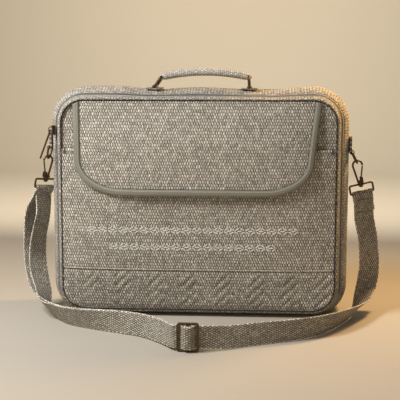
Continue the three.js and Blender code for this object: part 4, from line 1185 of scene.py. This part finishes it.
fine_voxel = 0.25 * MM
coarse_voxel = 0.4 * MM
for side in ("left", "right"):
    rounded(f"handle_ring_{side}", "wire")
    rounded(f"d_ring_{side}", "wire")
    rounded(f"hook_{side}", "casting", voxel=0.3 * MM, rounds=4)
    rounded(f"gate_{side}", "lever", body=f"{side}_gate", voxel=fine_voxel, rounds=3)
    rounded(f"strap_loop_{side}", "casting")
    rounded(
        f"handle_tab_{side}", "cloth", binding_look, voxel=coarse_voxel, uv_axes=(1, 0)
    )
    rounded(f"side_tab_{side}", "cloth", webbing_look, voxel=coarse_voxel)
rounded("strap_slider", "casting", voxel=coarse_voxel, rounds=6)
rounded("zip_slider", "casting", voxel=fine_voxel)
rounded("zip_pull", "tab", body="zip_pull", voxel=fine_voxel, rounds=4)


# Shoulder strap
def strap_sections():
    """The solid strap's own four-cornered sections, in order from one sewn end to the other."""
    grown = bmesh.new()
    grown.from_mesh(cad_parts["strap"].data)
    bmesh.ops.remove_doubles(grown, verts=grown.verts, dist=weld)
    grown.verts.ensure_lookup_table()
    near = {v.index: {e.other_vert(v).index for e in v.link_edges} for v in grown.verts}
    places = np.array([v.co for v in grown.verts])
    grown.free()
    ends = [v for v, others in near.items() if len(others) < 6]
    first = min(ends, key=lambda v: -places[v][0])
    order = [first]
    while len(order) < 4:
        options = [v for v in ends if v in near[order[-1]] and v not in order]
        order.append(min(options, key=lambda v: np.linalg.norm(places[v] - places[order[-1]])))
    rings, seen = [order], set(order)
    while True:
        ahead = {v for here in rings[-1] for v in near[here]} - seen
        if len(ahead) != 4:
            break
        walk = [min(ahead)]
        while len(walk) < 4:
            walk.append(next(v for v in ahead if v in near[walk[-1]] and v not in walk))
        options = [walk[k:] + walk[:k] for k in range(4)]
        options += [option[::-1] for option in options]
        base = places[rings[-1]]
        away = [np.linalg.norm(places[option] - base, axis=1).sum() for option in options]
        rings.append(options[int(np.argmin(away))])
        seen.update(ahead)
    return places[np.array(rings)]


coarse = strap_sections()
strap_width = float(np.median(np.linalg.norm(coarse[:, 1] - coarse[:, 2], axis=1)))
strap_thickness = float(np.median(np.linalg.norm(coarse[:, 0] - coarse[:, 1], axis=1)))


def flowing(values, places):
    """Catmull-Rom curve through rows of values, read at fractional rows."""
    last = len(values) - 1
    k = np.clip(places.astype(int), 0, last - 1)
    t = (places - k)[:, None]
    rows = [values[np.clip(k + shift, 0, last)] for shift in (-1, 0, 1, 2)]
    return 0.5 * (
        2 * rows[1]
        + (rows[2] - rows[0]) * t
        + (2 * rows[0] - 5 * rows[1] + 4 * rows[2] - rows[3]) * t**2
        + (3 * rows[1] - rows[0] - 3 * rows[2] + rows[3]) * t**3
    )


centres = coarse.mean(1)
spans = np.linalg.norm(np.diff(centres, axis=0), axis=1)
counts = np.maximum((spans / (2.5 * MM)).astype(int), 1)
places = [k + np.arange(count) / count for k, count in enumerate(counts)]
places = np.concatenate(places + [[len(spans)]])
centre = flowing(centres, places)
edge = unit(flowing((coarse[:, 0] + coarse[:, 1] - coarse[:, 2] - coarse[:, 3]) / 2, places))
face = flowing((coarse[:, 1] + coarse[:, 2] - coarse[:, 0] - coarse[:, 3]) / 2, places)
face = unit(face - edge * (face * edge).sum(1, keepdims=True))
half, thick = strap_width / 2, strap_thickness / 2
edge_inset = 3 * MM
flat = np.linspace(-(half - thick), half - thick, 11)
level = np.full(len(flat), thick)
bend = np.linspace(-math.pi / 2, math.pi / 2, 5)[1:-1]
rim_u, rim_v = half - thick + thick * np.cos(bend), thick * np.sin(bend)
section_u = np.concatenate([flat, rim_u, flat[::-1], -rim_u])
section_v = np.concatenate([-level, rim_v, level, -rim_v])
drawn_in = 0.25 * np.exp(-(((np.abs(section_u) - half + edge_inset) / (1.2 * MM)) ** 2))
section_v = section_v * (1 - drawn_in)
sections = centre[:, None] + edge[:, None] * section_u[:, None] + face[:, None] * section_v[:, None]
length = along_line(centre)
loft(
    "strap_webbing",
    sections,
    metric_map(np.append(section_u, section_u[0]), length),
    webbing_look,
    ["strap"],
)
strap_lines = []
for side in (-1, 1):
    for layer in (-1, 1):
        at = side * (half - edge_inset)
        line = centre + edge * at + face * layer * thick * 0.8
        strap_lines.append((line, face * layer))
stitched(
    "strap_edge_stitches",
    strap_lines,
    pitch=4.0 * MM,
    size=fine_thread,
    look=grey_thread,
    lift=0.05 * MM,
    seed=8,
)

# Two rows of stitches that hold the strap's end where it is folded back round the right loop
fold_levels = (0.1425, 0.1605)
fold_start, fold_end = 36 * MM, 120 * MM
near_loop = np.where((length > fold_start) & (length < fold_end))[0]
rows = [near_loop[np.argmin(np.abs(centre[near_loop, 2] - level))] for level in fold_levels]
fold_u = np.linspace(-half + edge_inset, half - edge_inset, 40)
fold_lines = []
for row in rows:
    outward = face[row] * (-1 if face[row][1] > 0 else 1)
    line = centre[row] + edge[row] * fold_u[:, None] + outward * thick * 0.95
    fold_lines.append((line, facing(len(line), outward)))
stitched(
    "strap_fold_stitches",
    fold_lines,
    pitch=2.6 * MM,
    size=fold_thread,
    look=dark_thread,
    lift=0.05 * MM,
    seed=13,
)


# White thread ornament: two rows of joined lozenges with a dot in each
lozenge_height = 10.5 * MM


def lozenge_row(left, right, level, count):
    """Places and directions of the beads, seen from the front."""
    wide, high = (right - left) / count, lozenge_height
    points, along = [], []
    for middle in left + wide * (np.arange(count) + 0.5):
        for sx in (-1, 1):
            for sz in (-1, 1):
                points.append((middle + sx * wide / 4, level + sz * high / 4))
                along.append((sx * wide, -sz * high))
        points.append((middle, level))
        along.append((1.0, 0.0))
    return np.array(points), np.array(along)


ornament = [
    lozenge_row(left=-152 * MM, right=138 * MM, level=122.9 * MM, count=20),
    lozenge_row(left=-122 * MM, right=108 * MM, level=99.5 * MM, count=16),
]
flat_points = np.concatenate([row[0] for row in ornament])
flat_along = np.concatenate([row[1] for row in ornament])
x, z = flat_points.T
beaded(
    "ornament_thread",
    np.stack([x, pocket_front(x, z) - 0.15 * MM, z], -1),
    unit(np.stack([flat_along[:, 0], np.zeros(len(x)), flat_along[:, 1]], -1)),
    facing(len(x)),
    ornament_bead,
    white_thread,
    seed=9,
)


# Floor, light and camera
def backdrop():
    """Pale floor that curves up behind the bag."""
    near, far, bend, high, wide = -9.0, 1.6, 0.6, 4.0, 9.0
    turn = np.linspace(0, math.pi / 2, 24)
    y = np.concatenate([[near], far + bend * np.sin(turn), [far + bend]])
    z = np.concatenate([[0.0], bend * (1 - np.cos(turn)), [high]])
    points = [(sx * wide, a, b) for a, b in zip(y, z) for sx in (-1, 1)]
    faces = [(2 * k, 2 * k + 1, 2 * k + 3, 2 * k + 2) for k in range(len(y) - 1)]
    mesh = bpy.data.meshes.new("backdrop")
    mesh.from_pydata(points, [], faces)
    finish = Finish("pale_floor")
    finish.set(Base_Color=rgb(0.49, 0.45, 0.385), Roughness=0.8)
    mesh.materials.append(finish.material)
    mesh.shade_smooth()
    piece = linked("backdrop", mesh)


def soft_light(name, place, aim, power, width, colour):
    light = bpy.data.lights.new(name, "AREA")
    light.energy = power
    light.size = width
    light.color = colour
    holder = linked(name, light)
    holder.location = place
    holder.rotation_euler = (Vector(aim) - Vector(place)).to_track_quat("-Z", "Y").to_euler()


backdrop()
soft_light("key_light", (-0.62, -0.46, 0.85), (-0.03, -0.05, 0.17), 11.9, 0.3, (1.0, 0.985, 0.96))
soft_light("front_fill", (0.0, -1.7, 0.6), (0.0, 0.0, 0.15), 2.3, 1.0, (1.0, 0.83, 0.62))
soft_light("warm_rim", (0.36, 0.16, 0.49), (0.2, 0.02, 0.29), 3.2, 0.12, (1.0, 0.62, 0.27))
soft_light("backdrop_glow", (0.0, 0.8, 1.0), (0.0, 2.2, 0.6), 30.0, 1.5, (1.0, 0.88, 0.7))
world = bpy.data.worlds.new("studio")
world.use_nodes = True
ambient = world.node_tree.nodes["Background"]
ambient.inputs["Color"].default_value = rgb(0.85, 0.74, 0.6)
ambient.inputs["Strength"].default_value = 0.22
bpy.context.scene.world = world
bpy.context.scene.view_settings.view_transform = "Standard"

camera = linked("camera", bpy.data.cameras.new("camera"))
camera.data.lens = 90
camera.data.sensor_width = 36
camera.location = (0.0897, -1.3933, 0.3648)
camera.rotation_euler = (math.radians(81.54), 0, math.radians(3.66))
bpy.context.scene.camera = camera
